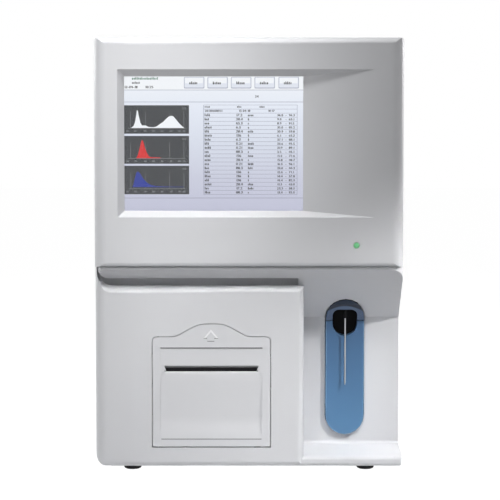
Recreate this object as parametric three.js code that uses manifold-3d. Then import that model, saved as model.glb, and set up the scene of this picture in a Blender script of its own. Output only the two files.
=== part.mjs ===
// Bench-top hematology analyzer with a touch screen, a built-in printer and an open sampling probe.
// Millimetres, +Z up, +X to the operator's right, front towards -Y, origin under the middle of the case.
// Depths are counted backwards from the plane of the upper front moulding.

import * as THREE from "three";
import { mergeVertices } from "three/addons/utils/BufferGeometryUtils.js";
import Module from "manifold-3d";

const wasm = await Module();
wasm.setup();

// Counts, angles and shares
const arcSteps = 5;
const slotSteps = 2;
const roundSides = 20;
const footSides = 16;
const smallSides = 12;
const barbSides = 8;
const postSides = 8;
const fanSides = 30;
const quarterTurn = Math.PI / 2;
const fullTurn = 2 * Math.PI;
const degree = Math.PI / 180;
const ledCrownShare = 0.6;
const nozzleCollarShare = 1.6;
const neckShare = 0.7;

// Clearances and stock
const overrun = 2;
const seam = 0.4;
const touchGap = 0.3;
const runningGap = 0.06;
const mouldWall = 3;
const sheet = 1.6;
const boardSheet = 1.6;

// Case
const caseWidth = 361;
const caseTop = 512;
const overallDepth = 430;
const portReach = 12;
const halfWidth = caseWidth / 2;
const caseDepth = overallDepth - portReach;
const footHeight = 10.2;
const caseEdge = 5;
const mouldDepth = 84;
const frontEdge = 15;
const topEdge = 9;
const lipHeight = 245.4;
const lipEdge = 7;
const coverHeight = 42;
const coverTopHeight = caseTop - coverHeight;
const bottomReturn = 15;
const rearInset = 3;
const rearFace = caseDepth - rearInset;
const ventTall = 4;
const sideVentRows = 9;
const sideVentColumns = 2;
const sideVentLength = 52;
const sideVentRib = 12;
const sideVentPitch = 11;
const sideVentInset = 40;
const sideVentBottom = 92;
const midPlateDepth = 150;
const midPlateHeadroom = 88;
const midPlateTop = caseTop - midPlateHeadroom;
const midPlateFlange = 18;
const cableHoleInset = 34;
const footInset = 41;
const footFrontDepth = 55;
const footRearInset = 33;
const footX = halfWidth - footInset;
const footRearDepth = caseDepth - footRearInset;
const footRadius = 12;
const footSoleRadius = 8;
const footShoulder = 4;

// Display
const screenWidth = 208;
const screenHeight = 156;
const screenLeftInset = 35.5;
const screenTopInset = 45;
const screenX = screenLeftInset - halfWidth + screenWidth / 2;
const screenZ = caseTop - screenTopInset - screenHeight / 2;
const pocketDepth = 9;
const pocketLeftBevel = 7.5;
const pocketTopBevel = 8;
const pocketBottomBevel = 7.4;
const pocketRightInset = 35.5;
const pocketRight = halfWidth - pocketRightInset;
const windowLip = 0.9;
const glassBorder = 4;
const glassThick = 2;
const lcdBorder = 8;
const lcdThick = 7.5;
const lcdRise = 2;
const bracketBorder = 16;
const bracketRim = 32;
const displayPost = 3.5;
const ledInset = 55.5;
const ledX = halfWidth - ledInset;
const ledRise = 25.6;
const ledZ = lipHeight + ledRise;
const ledRadius = 3.6;
const ledDome = 1.2;
const ledFlange = 1.6;

// Lower front moulding
const slopeStart = 3;
const slopeDrop = 2.4;
const moduleFront = 8;
const recessWidth = 116.1;
const browHeight = 23.4;
const moduleRight = halfWidth - recessWidth;
const moduleTop = lipHeight - browHeight;
const moduleEdge = 8;
const recessDepth = 78;
const ceilingFoot = 180;
const floorBack = 26;
const floorFront = 21.3;
const plinthFront = 10;
const plinthEdge = 4;
const grooveHeight = 9.7;
const grooveDepth = 34;
const grooveEnd = 6.4;
const grooveRight = moduleRight - grooveEnd;
const grooveSkin = 2.4;
const grooveNeck = 2;
const grooveBend = 16;
const grooveInnerBend = 11;
const grooveLeft = grooveSkin - halfWidth;
const grooveStem = grooveLeft + grooveNeck / 2;

// Sampling window
const keyInset = 65;
const keyX = halfWidth - keyInset;
const keyRadius = 23.2;
const keyBottom = 38;
const keyTop = 175.6;
const keyProud = 5.5;
const keyFaceThick = 3;
const keyWall = 2.4;
const keyGap = 0.7;
const keySkirt = 6;
const keyStroke = 3.1;
const hoodTop = 203.4;
const hoodFloorFront = 59;
const hoodThick = 3.4;
const hoodFloorTop = 196.5;
const hoodCrescent = 7;
const holeWidth = 29.6;
const holeTop = 190;
const holeBottom = 158;
const pivotRadius = 2;
const pivotHeight = 168;
const pivotDepth = 88;
const pivotReach = 4;
const switchSpace = 4.4;
const switchDepth = 8;
const switchTall = 10;
const switchReach = 10;

// Probe and its lift
const probeDepth = 67;
const needleRadius = 1;
const needleTip = 99;
const needlePoint = 3;
const needleTop = 238;
const nozzleRadius = 2.2;
const nozzleBottom = 179.5;
const nozzleTop = 206;
const wipeMargin = 2;
const wipeBottom = 152;
const wipeArmBottom = 196;
const liftTravel = 82;
const carriageBottom = 214;
const carriageHeight = 22;
const carriageWidth = 22;
const carriageWall = 6;
const clampInset = 4;
const railDepth = 92;
const railWidth = 9;
const railThick = 6;
const railBottom = 206;
const bracketFace = 102;
const bracketLeftReach = 23.5;
const bracketRightReach = 42.5;
const bracketLeft = keyX - bracketLeftReach;
const bracketRight = keyX + bracketRightReach;
const bracketBottom = 196;
const bracketTop = 330;
const pulleyOffset = 26.5;
const pulleyX = keyX + pulleyOffset;
const pulleyRadius = 8.2;
const pulleyTeeth = 18;
const pulleyToothShares = [0.1, 0.45, 0.6, 0.95];
const pulleyToothDepth = 0.7;
const pulleyFlange = 0.8;
const pulleyShaft = 2.5;
const pulleyWidth = 7;
const pulleyDepth = 88;
const drivePulleyZ = 212;
const idlerPulleyZ = 314;
const beltThick = 1.4;
const beltWidth = 6;
const liftMotorSize = 35;
const liftMotorTrim = 4;
const liftMotorCorner = 4;
const liftMotorLength = 30;
const liftBossRadius = 11;

// Printer
const doorLeftInset = 67.5;
const doorRightInset = 39.4;
const doorLeft = doorLeftInset - halfWidth;
const doorRight = moduleRight - doorRightInset;
const doorX = (doorLeft + doorRight) / 2;
const doorWidth = doorRight - doorLeft;
const doorBottom = 33.5;
const doorShoulder = 163.2;
const doorShoulderWidth = 27;
const doorHumpWidth = doorWidth - 2 * doorShoulderWidth;
const humpRiseShare = 0.18;
const humpCrownShare = 0.36;
const doorCorner = 5;
const doorThick = 3.2;
const doorSeam = 0.8;
const doorFlange = 6;
const doorToe = 1;
const doorLipDrop = 1;
const doorPanelWall = 1;
const panelInset = 9.2;
const panelWidth = doorWidth - 2 * panelInset;
const panelBottom = 43;
const panelTop = 150.9;
const panelStep = 0.8;
const slotChamfer = 1.6;
const panelDip = 4;
const panelShares = [
  [0.8, 1],
  [0.17, 0.95],
  [0.5, 0.55],
  [0.7, 0.25],
  [0, 0],
];
const slotBottom = 123.4;
const slotHeight = 4.7;
const slotInset = 4.8;
const hingeDepth = 14;
const hingeHeight = 38.5;
const hingeRadius = 1.5;
const knuckleRadius = 2.4;
const cheekThick = 3;
const cheekCorner = 3;
const bayInset = 11;
const bayInner = doorWidth - 2 * bayInset;
const bayWall = 2;
const bayFloor = 34;
const bayBack = 80;
const bayTop = 150;
const bayFront = 22;
const bayShoulder = 96;
const bayShoulderDepth = 36;
const bayLegStart = 20;
const bayLegEnd = 8;
const rollRadius = 25;
const rollCore = 6;
const rollSpace = 3;
const rollWidth = bayInner - 2 * rollSpace;
const rollDepth = 50.5;
const platenDepth = 20.6;
const platenZ = 116.5;
const platenRadius = 5.6;
const platenShaft = 2.5;
const platenEnd = 1;
const gearModule = 1;
const gearWidth = 3;
const platenTeeth = 16;
const idlerTeeth = 24;
const pinionTeeth = 12;
const addendumShare = 0.9;
const dedendumShare = 1.25;
const pressureAngle = 20 * degree;
const gearBacklash = 0.3;
const gearPlay = 0.1;
const gearSpace = 1;
const gearPlateSpace = 1.4;
const gearPlateHalf = 18;
const idlerStud = 2;
const motorShaft = 1;
const printerMotorRadius = 13;
const printerMotorLength = 24;
const printerBoss = 4;
const headThick = 3;
const headHalf = 9;
const headMargin = 2;
const headSinkTop = 14;
const headArm = 2;

// Fluidics
const syringeInset = 60.5;
const syringeX = syringeInset - halfWidth;
const syringeDepth = 122;
const syringeBottom = 96;
const syringeFoot = 40;
const syringeHalf = 30;
const syringeTopRoom = 24;
const capGap = 4;
const shelfGap = 2;
const shelfThick = 4;
const shelfReach = 14;
const bracketThick = 3;
const barrelRadius = 9;
const barrelBore = 7.4;
const barrelLength = 68;
const barrelEnd = 4;
const barrelPort = 1.5;
const plungerRest = 34;
const plungerRod = 2.5;
const pistonThick = 8;
const pusherBottom = 47;
const pusherThick = 8;
const pusherEnd = 12;
const pusherHalf = 9;
const screwOffset = 26;
const screwRadius = 3;
const screwEnd = 6;
const syringeMotorSize = 34;
const syringeMotorHeight = 28;
const bossRadius = 9;
const bossHeight = 2;
const bathRadius = 15;
const bathBore = 12.5;
const bathHeight = 46;
const bathBottom = 226;
const bathDepth = 126;
const bathCone = 14;
const bathFloor = 3;
const bathSpout = 6;
const bathSpoutRadius = 3;
const bathMountHalf = 6;
const bathMountLow = 8;
const bathMountTall = 20;
const bathOffset = 84;
const bathPitch = 50;
const leftBathX = syringeX + bathOffset;
const rightBathX = leftBathX + bathPitch;
const valveCount = 6;
const valvePitch = 24;
const valveRadius = 8;
const valveLength = 30;
const valveInset = 70.5;
const valveLeft = valveInset - halfWidth;
const valveZ = 250;
const manifoldThick = 18;
const manifoldHalf = 12;
const pumpInset = 68.5;
const pumpOffset = 80;
const pumpX = pumpInset - halfWidth;
const pumpDepth = midPlateDepth + pumpOffset;
const pumpPlinth = 6;
const pumpHalf = 34;
const pumpLift = 4;
const pumpMotorRadius = 24;
const pumpMotorLength = 66;
const pumpHeadLength = 38;
const pumpHeadHalf = 27;
const pumpHeadTop = 62;
const pumpStub = 10;
const pumpStubRadius = 3;

// Electronics
const boardWidth = 200;
const boardSideInset = 40.5;
const boardRight = halfWidth - boardSideInset;
const boardLeft = boardRight - boardWidth;
const boardBottom = 270;
const boardTop = 410;
const boardInset = 8;
const boardStandoff = 8;
const standoffRadius = 3;
const boardPartHeight = 9;
// Each component's left and lower edge, width and height on the board, and its thickness, as shares.
const boardPartShares = [
  [0.12, 0.3, 0.13, 0.19, 0.33],
  [0.42, 0.3, 0.17, 0.24, 0.56],
  [0.12, 0.72, 0.2, 0.09, 1],
  [0.5, 0.74, 0.25, 0.1, 1],
  [0.8, 0.4, 0.1, 0.29, 0.78],
];
const supplyWidth = 106;
const supplySideInset = 14.5;
const supplyFrontSpace = 42;
const supplyRearSpace = 43;
const supplyRight = halfWidth - supplySideInset;
const supplyLeft = supplyRight - supplyWidth;
const supplyFront = midPlateDepth + midPlateFlange + supplyFrontSpace;
const supplyBack = rearFace - supplyRearSpace;
const supplyHeight = 44;
const terminalInset = 8;
const terminalWidth = 70;
const terminalReach = 10;
const terminalHeight = 14;

// Rear
const fanSideInset = 88.5;
const fanTopInset = 140;
const fanX = fanSideInset - halfWidth;
const fanZ = caseTop - fanTopInset;
const fanSize = 80;
const fanThick = 25;
const fanBore = 37.8;
const fanHub = 15;
const fanStrut = 3;
const fanCorner = 4;
const fanAxle = 2;
const fanBlades = 7;
const bladeClear = 1.8;
const bladeThick = 1.4;
const bladeChord = 15;
const bladeTwist = 35 * degree;
const guardWire = 1.5;
const guardRings = 3;
const rearVentRows = 7;
const rearVentPitch = 9;
const rearVentDrop = 30;
const rearVentBottom = fanZ - rearVentDrop;
const rearVentWidth = 100;
const rearVentInset = 40.5;
const rearVentRight = halfWidth - rearVentInset;
const rearVentLeft = rearVentRight - rearVentWidth;
const inletInset = 62.5;
const inletX = halfWidth - inletInset;
const inletZ = 74;
const inletFlange = 2;
const inletRim = 6;
const socketHalf = 14;
const socketTall = 10;
const socketCorner = 3;
const socketWall = 2;
const socketFloor = 5;
const socketDepth = 21;
const pinHalf = 1;
const pinSetback = 4;
// The middle of each pin as shares of the socket's half sizes.
const pinShares = [
  [-0.5, -0.2],
  [0.5, -0.2],
  [0, 0.3],
];
const rockerRise = 31;
const switchBoxHalf = 10.7;
const wellHalf = 10.5;
const wellTall = 9;
const wellDepth = 14;
const rockerSide = 0.9;
const rockerPin = 1.5;
const rockerSetback = 3;
const rockerReach = 8.6;
const rockerValley = 3.2;
const rockerSteps = 4;
const rockerTilt = 6 * degree;
const rockerFaceAngle = 51 * degree;
const rockerBackAngle = 118 * degree;
const portInset = 90.5;
const portX = halfWidth - portInset;
const portZ = 300;
const portHalf = 36;
const portTall = 9;
const portCorner = 2;
const portRim = 4;
const portFlange = 1.2;
const portDepth = 14;
const dataPortShares = [-0.83, -0.33];
const dataPortHalf = 3.2;
const dataPortTall = 6.6;
const dataPortDepth = 10;
const serialOffset = 16;
const serialX = portX + serialOffset;
const serialHalf = 12;
const serialTall = 4.2;
const serialTaper = 2;
const serialDepth = 8;
const reagentInset = 100.5;
const reagentX = reagentInset - halfWidth;
const reagentZ = 150;
const reagentHalf = 52;
const reagentTall = 14;
const reagentRim = 4;
const reagentFlange = 3;
const reagentDepth = 10;
const reagentCount = 4;
const reagentPitch = 25;
const barbCollar = 6;
const barbRadius = 3.6;
// Each ring of a barb as a share of its radius and of its run.
const barbShares = [
  [0.72, 0.22],
  [1, 0.38],
  [0.72, 0.7],
  [1, 0.76],
  [0.6, 1],
];

const frontY = -overallDepth / 2;
// The belt's inner side, as the corner radius of its facets.
const beltInner = (pulleyRadius + touchGap) / Math.cos(Math.PI / roundSides);

// The Y coordinate of a depth behind the upper front plane.
function deep(depth) {
  return frontY + depth;
}

// A closed solid from a closed three.js geometry.
function solidOf(geometry) {
  const bare = geometry.clone();
  bare.deleteAttribute("normal");
  bare.deleteAttribute("uv");
  const merged = mergeVertices(bare, 1e-4);
  return new wasm.Manifold(
    new wasm.Mesh({
      numProp: 3,
      vertProperties: merged.attributes.position.array,
      triVerts: new Uint32Array(merged.index.array),
    }),
  );
}

// A solid's surface as a three.js geometry.
function geometryOf(solid) {
  const mesh = solid.getMesh();
  const stride = mesh.numProp;
  const positions = new Float32Array(mesh.numVert * 3);
  for (let i = 0; i < mesh.numVert; i += 1) {
    positions.set(mesh.vertProperties.subarray(i * stride, i * stride + 3), i * 3);
  }
  const geometry = new THREE.BufferGeometry();
  geometry.setAttribute("position", new THREE.BufferAttribute(positions, 3));
  geometry.setIndex(new THREE.BufferAttribute(new Uint32Array(mesh.triVerts), 1));
  geometry.computeVertexNormals();
  return geometry;
}

// An outline raised by length along +Z from the plane Z = 0, with any holes.
function raised(points, length, holes = []) {
  const shape = new THREE.Shape(points.map(([u, v]) => new THREE.Vector2(u, v)));
  for (const hole of holes) {
    shape.holes.push(new THREE.Path(hole.map(([u, v]) => new THREE.Vector2(u, v))));
  }
  return new THREE.ExtrudeGeometry(shape, { depth: length, bevelEnabled: false });
}

const alongX = new THREE.Matrix4().set(0, 0, 1, 0, 1, 0, 0, 0, 0, 1, 0, 0, 0, 0, 0, 1);
const alongY = new THREE.Matrix4().set(1, 0, 0, 0, 0, 0, -1, 0, 0, 1, 0, 0, 0, 0, 0, 1);

// A prism along X from an outline of [y, z] points.
function prismX(points, from, to, holes) {
  const geometry = raised(points, to - from, holes);
  geometry.applyMatrix4(alongX);
  geometry.translate(from, 0, 0);
  return solidOf(geometry);
}

// A prism along Y from an outline of [x, z] points, between two depths.
function prismY(points, fromDepth, toDepth, holes) {
  const geometry = raised(points, toDepth - fromDepth, holes);
  geometry.applyMatrix4(alongY);
  geometry.translate(0, deep(toDepth), 0);
  return solidOf(geometry);
}

// A prism along Z from an outline of [x, y] points.
function prismZ(points, from, to, holes) {
  const geometry = raised(points, to - from, holes);
  geometry.translate(0, 0, from);
  return solidOf(geometry);
}

// A block between two X, two depths and two Z.
function block(x0, x1, depth0, depth1, z0, z1) {
  const geometry = new THREE.BoxGeometry(x1 - x0, depth1 - depth0, z1 - z0);
  geometry.translate((x0 + x1) / 2, deep((depth0 + depth1) / 2), (z0 + z1) / 2);
  return solidOf(geometry);
}

// A circle as an outline.
function circle(u, v, radius, sides = roundSides) {
  const points = [];
  for (let i = 0; i < sides; i += 1) {
    const angle = ((i + 1 / 2) * fullTurn) / sides;
    points.push([u + radius * Math.cos(angle), v + radius * Math.sin(angle)]);
  }
  return points;
}

// The corner radius of a faceted bore in which a shaft turns with the running gap.
function boreFor(shaft, sides = smallSides) {
  return (shaft + runningGap) / Math.cos(Math.PI / sides);
}

function rodX(depth, z, radius, from, to, sides) {
  return prismX(circle(deep(depth), z, radius, sides), from, to);
}

function rodY(x, z, radius, fromDepth, toDepth, sides) {
  return prismY(circle(x, z, radius, sides), fromDepth, toDepth);
}

function rodZ(x, depth, radius, from, to, sides) {
  return prismZ(circle(x, deep(depth), radius, sides), from, to);
}

// A solid of revolution about Z from a profile of [radius, z] points that starts and ends on the axis.
function turnedZ(profile, x, depth, sides = roundSides) {
  const points = profile.map(([radius, z]) => new THREE.Vector2(radius, z));
  const geometry = new THREE.LatheGeometry(points, sides);
  geometry.rotateX(quarterTurn);
  geometry.translate(x, deep(depth), 0);
  return solidOf(geometry);
}

// The same about an axis along Y, with the profile's second value as the depth.
function turnedY(profile, x, z, sides = roundSides) {
  const points = profile.map(([radius, depth]) => new THREE.Vector2(radius, deep(depth)));
  const geometry = new THREE.LatheGeometry(points, sides);
  geometry.translate(x, 0, z);
  return solidOf(geometry);
}

// A closed outline from counterclockwise corners [u, v, radius], moved inwards by inset, each corner an arc.
function outline(corners, inset = 0, steps = arcSteps) {
  const count = corners.length;
  const points = [];
  for (let i = 0; i < count; i += 1) {
    const before = corners[(i + count - 1) % count];
    const [u, v, radius] = corners[i];
    const after = corners[(i + 1) % count];
    const inLength = Math.hypot(u - before[0], v - before[1]);
    const outLength = Math.hypot(after[0] - u, after[1] - v);
    const a = [(u - before[0]) / inLength, (v - before[1]) / inLength];
    const b = [(after[0] - u) / outLength, (after[1] - v) / outLength];
    const along = a[0] * b[0] + a[1] * b[1];
    const cross = a[0] * b[1] - a[1] * b[0];
    const shift = inset / (1 + along);
    const corner = [u - shift * (a[1] + b[1]), v + shift * (a[0] + b[0])];
    const bend = radius === 0 ? 0 : radius - inset * Math.sign(cross);
    points.push(...cornerArc(corner, a, b, Math.max(bend, 0), steps));
  }
  return points;
}

// The arc of one corner between the unit directions a, coming in, and b, going out.
function cornerArc(corner, a, b, radius, quarterSteps) {
  if (radius === 0) {
    return [corner];
  }
  const turn = Math.atan2(a[0] * b[1] - a[1] * b[0], a[0] * b[0] + a[1] * b[1]);
  const reach = radius * Math.tan(Math.abs(turn) / 2);
  const side = Math.sign(turn);
  const start = [corner[0] - a[0] * reach, corner[1] - a[1] * reach];
  const centre = [start[0] - a[1] * radius * side, start[1] + a[0] * radius * side];
  const steps = Math.max(1, Math.round((quarterSteps * Math.abs(turn)) / quarterTurn));
  const points = [];
  for (let i = 0; i <= steps; i += 1) {
    const angle = (turn * i) / steps;
    const du = start[0] - centre[0];
    const dv = start[1] - centre[1];
    points.push([
      centre[0] + du * Math.cos(angle) - dv * Math.sin(angle),
      centre[1] + du * Math.sin(angle) + dv * Math.cos(angle),
    ]);
  }
  return points;
}

// An upright rectangle as an outline, with one corner radius.
function rectangle(u0, u1, v0, v1, radius = 0, steps = slotSteps) {
  const corners = [
    [u0, v0, radius],
    [u1, v0, radius],
    [u1, v1, radius],
    [u0, v1, radius],
  ];
  return outline(corners, 0, steps);
}

// A solid between a [x0, x1, z0, z1] rectangle at one depth and another at a greater depth.
function frustum(front, frontDepth, back, backDepth) {
  const corners = [];
  for (const [[x0, x1, z0, z1], depth] of [
    [front, frontDepth],
    [back, backDepth],
  ]) {
    const y = deep(depth);
    corners.push(x0, y, z0, x1, y, z0, x1, y, z1, x0, y, z1);
  }
  const faces = [0, 1, 2, 0, 2, 3, 4, 6, 5, 4, 7, 6, 0, 4, 5, 0, 5, 1];
  faces.push(1, 5, 6, 1, 6, 2, 2, 6, 7, 2, 7, 3, 3, 7, 4, 3, 4, 0);
  const geometry = new THREE.BufferGeometry();
  geometry.setAttribute("position", new THREE.Float32BufferAttribute(corners, 3));
  geometry.setIndex(faces);
  return solidOf(geometry);
}

// The outline of a spur gear with chorded involute flanks and one tooth pointing at the angle phase.
function gearOutline(u, v, teeth, phase) {
  const pitch = (teeth * gearModule) / 2;
  const tip = pitch + gearModule * addendumShare;
  const root = pitch - gearModule * dedendumShare;
  const involute = (angle) => Math.tan(angle) - angle;
  const half = fullTurn / (4 * teeth) - gearBacklash / (2 * pitch);
  const tipAngle = Math.acos((pitch * Math.cos(pressureAngle)) / tip);
  const halfTip = half + involute(pressureAngle) - involute(tipAngle);
  const halfRoot = half + involute(pressureAngle);
  const flank = [
    [root, halfRoot],
    [pitch, half],
    [tip, halfTip],
  ];
  const points = [];
  for (let i = 0; i < teeth; i += 1) {
    const middle = phase + (i * fullTurn) / teeth;
    for (const [radius, angle] of flank) {
      points.push([u + radius * Math.cos(middle - angle), v + radius * Math.sin(middle - angle)]);
    }
    for (const [radius, angle] of [...flank].reverse()) {
      points.push([u + radius * Math.cos(middle + angle), v + radius * Math.sin(middle + angle)]);
    }
  }
  return points;
}

const part = new THREE.Group();

// One named sub-part of the assembly.
function addPiece(name, solid, color, roughness = 0.5, metalness = 0) {
  const material = new THREE.MeshStandardMaterial({ color, roughness, metalness });
  const mesh = new THREE.Mesh(geometryOf(solid), material);
  mesh.name = name;
  part.add(mesh);
}

const shellColor = 0xd6d8da;
const sheetColor = 0xd0d2d4;
const rubberColor = 0x151515;
const blueColor = 0x4a79b4;
const steelColor = 0xc4c6c8;
const zincColor = 0xb0b2b0;
const blackColor = 0x1b1c1e;
const boardColor = 0x1e5c36;
const acetalColor = 0xe8e6dc;
const clearColor = 0xbfd3dd;
const glassColor = 0xe9edf6;
const ledColor = 0x35c24a;
const paperColor = 0xf7f7f4;
const brassColor = 0xb5a14e;

// Case outlines

function frontOutline(top) {
  return [
    [-halfWidth, footHeight, frontEdge],
    [halfWidth, footHeight, caseEdge],
    [halfWidth, top, top === caseTop ? caseEdge : 0],
    [-halfWidth, top, top === caseTop ? caseEdge : 0],
  ];
}

function planOutline(x0, x1, front, back, leftRadius, rightRadius) {
  return [
    [x0, deep(front), leftRadius],
    [x1, deep(front), rightRadius],
    [x1, deep(back), 0],
    [x0, deep(back), 0],
  ];
}

function bodyOutline(inset) {
  return outline(
    [
      [-halfWidth, footHeight, caseEdge],
      [halfWidth, footHeight, caseEdge],
      [halfWidth, caseTop, caseEdge],
      [-halfWidth, caseTop, caseEdge],
    ],
    inset,
  );
}

// The depth to which an inset copy of a moulding runs, so that the moulding stays open at the back.
function openBack(inset) {
  return inset === 0 ? mouldDepth : mouldDepth + inset + overrun;
}

// Upper front moulding

function bezelSolid(inset) {
  const back = openBack(inset);
  const front = outline(frontOutline(caseTop), inset);
  const plan = outline(planOutline(-halfWidth, halfWidth, 0, back, frontEdge, frontEdge), inset);
  const side = outline(
    [
      [deep(0), lipHeight, lipEdge],
      [deep(back), lipHeight, 0],
      [deep(back), caseTop, 0],
      [deep(0), caseTop, topEdge],
    ],
    inset,
  );
  return prismX(side, -halfWidth, halfWidth)
    .intersect(prismY(front, 0, mouldDepth + overrun))
    .intersect(prismZ(plan, 0, caseTop));
}

function screenRectangle(border) {
  const halfScreen = screenWidth / 2 + border;
  const halfTall = screenHeight / 2 + border;
  return [screenX - halfScreen, screenX + halfScreen, screenZ - halfTall, screenZ + halfTall];
}

function pocketRectangle() {
  const [x0, , z0, z1] = screenRectangle(0);
  return [x0 - pocketLeftBevel, pocketRight, z0 - pocketBottomBevel, z1 + pocketTopBevel];
}

function grown([x0, x1, z0, z1], by) {
  return [x0 - by, x1 + by, z0 - by, z1 + by];
}

function slab([x0, x1, z0, z1], depth0, depth1) {
  return block(x0, x1, depth0, depth1, z0, z1);
}

function frontBezel() {
  const pocket = frustum(pocketRectangle(), 0, screenRectangle(0), pocketDepth);
  const pocketBack = frustum(
    grown(pocketRectangle(), mouldWall),
    windowLip,
    grown(screenRectangle(0), glassBorder + mouldWall),
    pocketDepth + mouldWall,
  );
  const inside = halfWidth - frontEdge;
  const floorOpening = block(
    -inside,
    inside,
    frontEdge,
    mouldDepth + overrun,
    lipHeight - overrun,
    lipHeight + mouldWall + overrun,
  );
  const glassSeat = slab(
    grown(screenRectangle(0), glassBorder + touchGap),
    pocketDepth + windowLip,
    pocketDepth + mouldWall + overrun,
  );
  return bezelSolid(0)
    .subtract(bezelSolid(mouldWall))
    .add(pocketBack)
    .subtract(pocket)
    .subtract(slab(screenRectangle(0), 0, pocketDepth + mouldWall + overrun))
    .subtract(slab(pocketRectangle(), -overrun, 0))
    .subtract(glassSeat)
    .subtract(floorOpening)
    .subtract(rodY(ledX, ledZ, ledRadius + touchGap, -overrun, mouldWall + overrun));
}

// Lower front moulding: printer module, sloped ceiling, recess wall and plinth

function moduleSolid(inset) {
  const back = openBack(inset);
  const plan = outline(
    planOutline(-halfWidth, moduleRight, moduleFront, back, frontEdge, moduleEdge),
    inset,
  );
  const side = outline(
    [
      [deep(moduleFront), footHeight, moduleEdge],
      [deep(back), footHeight, 0],
      [deep(back), moduleTop, 0],
      [deep(moduleFront), moduleTop, moduleEdge],
    ],
    inset,
  );
  return prismX(side, -halfWidth, moduleRight).intersect(prismZ(plan, 0, moduleTop));
}

function recessSolid(inset) {
  const back = openBack(inset);
  const top = lipHeight - seam;
  const left = inset === 0 ? grooveStem : -halfWidth;
  const plan = outline(
    planOutline(-halfWidth, halfWidth, slopeStart, back, frontEdge, frontEdge),
    inset,
  );
  const brow = [
    [deep(slopeStart), top, 0],
    [deep(slopeStart), top - slopeDrop, 0],
  ];
  const side = outline(
    [
      [deep(plinthFront), footHeight, plinthEdge],
      [deep(back), footHeight, 0],
      [deep(back), top, 0],
      ...(inset === 0 ? brow : [[deep(slopeDepth(top)), top, 0]]),
      [deep(recessDepth), ceilingFoot, 0],
      [deep(recessDepth), floorBack, plinthEdge],
      [deep(plinthFront), floorFront, plinthEdge],
    ],
    inset,
  );
  const covered = block(
    -halfWidth - overrun,
    grooveLeft + grooveBend,
    0,
    back + overrun,
    0,
    moduleTop - 2 * moduleEdge,
  );
  return prismX(side, left, halfWidth).intersect(prismZ(plan, 0, caseTop)).subtract(covered);
}

// The left end of the brow over the module, which keeps the corner of the case whole.
function cheekSolid(inset) {
  const back = openBack(inset);
  const top = lipHeight - seam;
  const low = moduleTop - 2 * moduleEdge;
  const middle = moduleTop + grooveHeight / 2;
  const right = grooveLeft + grooveBend;
  const plan = outline(
    planOutline(-halfWidth, halfWidth, moduleFront, back, frontEdge, frontEdge),
    inset,
  );
  const side = outline([
    [-halfWidth, low, 0],
    [right, low, 0],
    [right, middle, 0],
    [grooveStem, middle, grooveInnerBend],
    [grooveStem, top, 0],
    [-halfWidth, top, 0],
  ]);
  const inner = block(-halfWidth, right, 0, back, low + inset, middle);
  return prismZ(plan, 0, caseTop)
    .intersect(inset === 0 ? prismY(side, 0, back) : inner)
    .subtract(cheekRounding(inset));
}

// What the module's rounded top edge leaves away where it follows the groove round the corner.
function cheekRounding(inset) {
  const x = grooveLeft + grooveBend;
  const z = moduleTop + grooveBend;
  const inner = grooveBend - overrun;
  const outer = grooveBend + moduleEdge;
  const back = moduleFront + moduleEdge;
  const front = moduleFront - overrun;
  const profile = [
    [inner, back],
    [inner, front],
    [outer, front],
  ];
  for (let i = arcSteps; i >= 0; i -= 1) {
    const angle = (quarterTurn * i) / arcSteps;
    const radius = moduleEdge - inset;
    profile.push([outer - radius * Math.cos(angle), back - radius * Math.sin(angle)]);
  }
  profile.push(profile[0]);
  const corner = block(x - outer, x, front - overrun, back + overrun, z - outer, z);
  return turnedY(profile, x, z, 4 * arcSteps).intersect(corner);
}

function lowerSolid(inset) {
  const front = prismY(outline(frontOutline(lipHeight - seam), inset), 0, mouldDepth + overrun);
  return moduleSolid(inset).add(recessSolid(inset)).add(cheekSolid(inset)).intersect(front);
}

// The undercut between the module and the slope, which climbs round the left corner.
function grooveSolid(grow) {
  const low = moduleTop;
  const high = moduleTop + grooveHeight;
  const top = lipHeight - seam + overrun;
  const path = outline(
    [
      [grooveRight, low, 0],
      [grooveRight, high, 0],
      [grooveLeft + grooveNeck, high, grooveInnerBend],
      [grooveLeft + grooveNeck, top, 0],
      [grooveLeft, top, 0],
      [grooveLeft, low, grooveBend],
    ],
    -grow,
  );
  return prismY(path, 0, grooveDepth + grow);
}

// The stadium outline of the key and the hood, between two heights.
function stadium(z0, z1, inset) {
  const radius = keyRadius;
  return outline(
    [
      [keyX - radius, z0, radius],
      [keyX + radius, z0, radius],
      [keyX + radius, z1, radius],
      [keyX - radius, z1, radius],
    ],
    inset,
  );
}

function doorOutline(inset) {
  const half = doorWidth / 2;
  const hump = doorHumpWidth / 2;
  const top = doorShoulder + doorHumpWidth * humpRiseShare;
  const crown = doorHumpWidth * humpCrownShare;
  return outline(
    [
      [doorX - half, doorBottom, 0],
      [doorX + half, doorBottom, 0],
      [doorX + half, doorShoulder, doorCorner],
      [doorX + hump, doorShoulder, doorCorner * 3],
      [doorX + crown / 2, top, crown],
      [doorX - crown / 2, top, crown],
      [doorX - hump, doorShoulder, doorCorner * 3],
      [doorX - half, doorShoulder, doorCorner],
    ],
    inset,
  );
}

// Two values in rising order.
function rising(a, b) {
  return [Math.min(a, b), Math.max(a, b)];
}

// The lug behind the recess wall that carries one trunnion of the key.
function pivotLug(side) {
  const inner = keyX + side * (keyRadius + keyGap);
  const [x0, x1] = rising(inner, inner + side * pivotReach);
  const lug = block(
    x0,
    x1,
    recessDepth + mouldWall / 2,
    pivotDepth + keySkirt,
    pivotHeight - keySkirt,
    pivotHeight + keySkirt,
  );
  const bore = rodX(
    pivotDepth,
    pivotHeight,
    boreFor(pivotRadius),
    x0 - overrun,
    x1 + overrun,
    smallSides,
  );
  return lug.subtract(bore);
}

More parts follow.
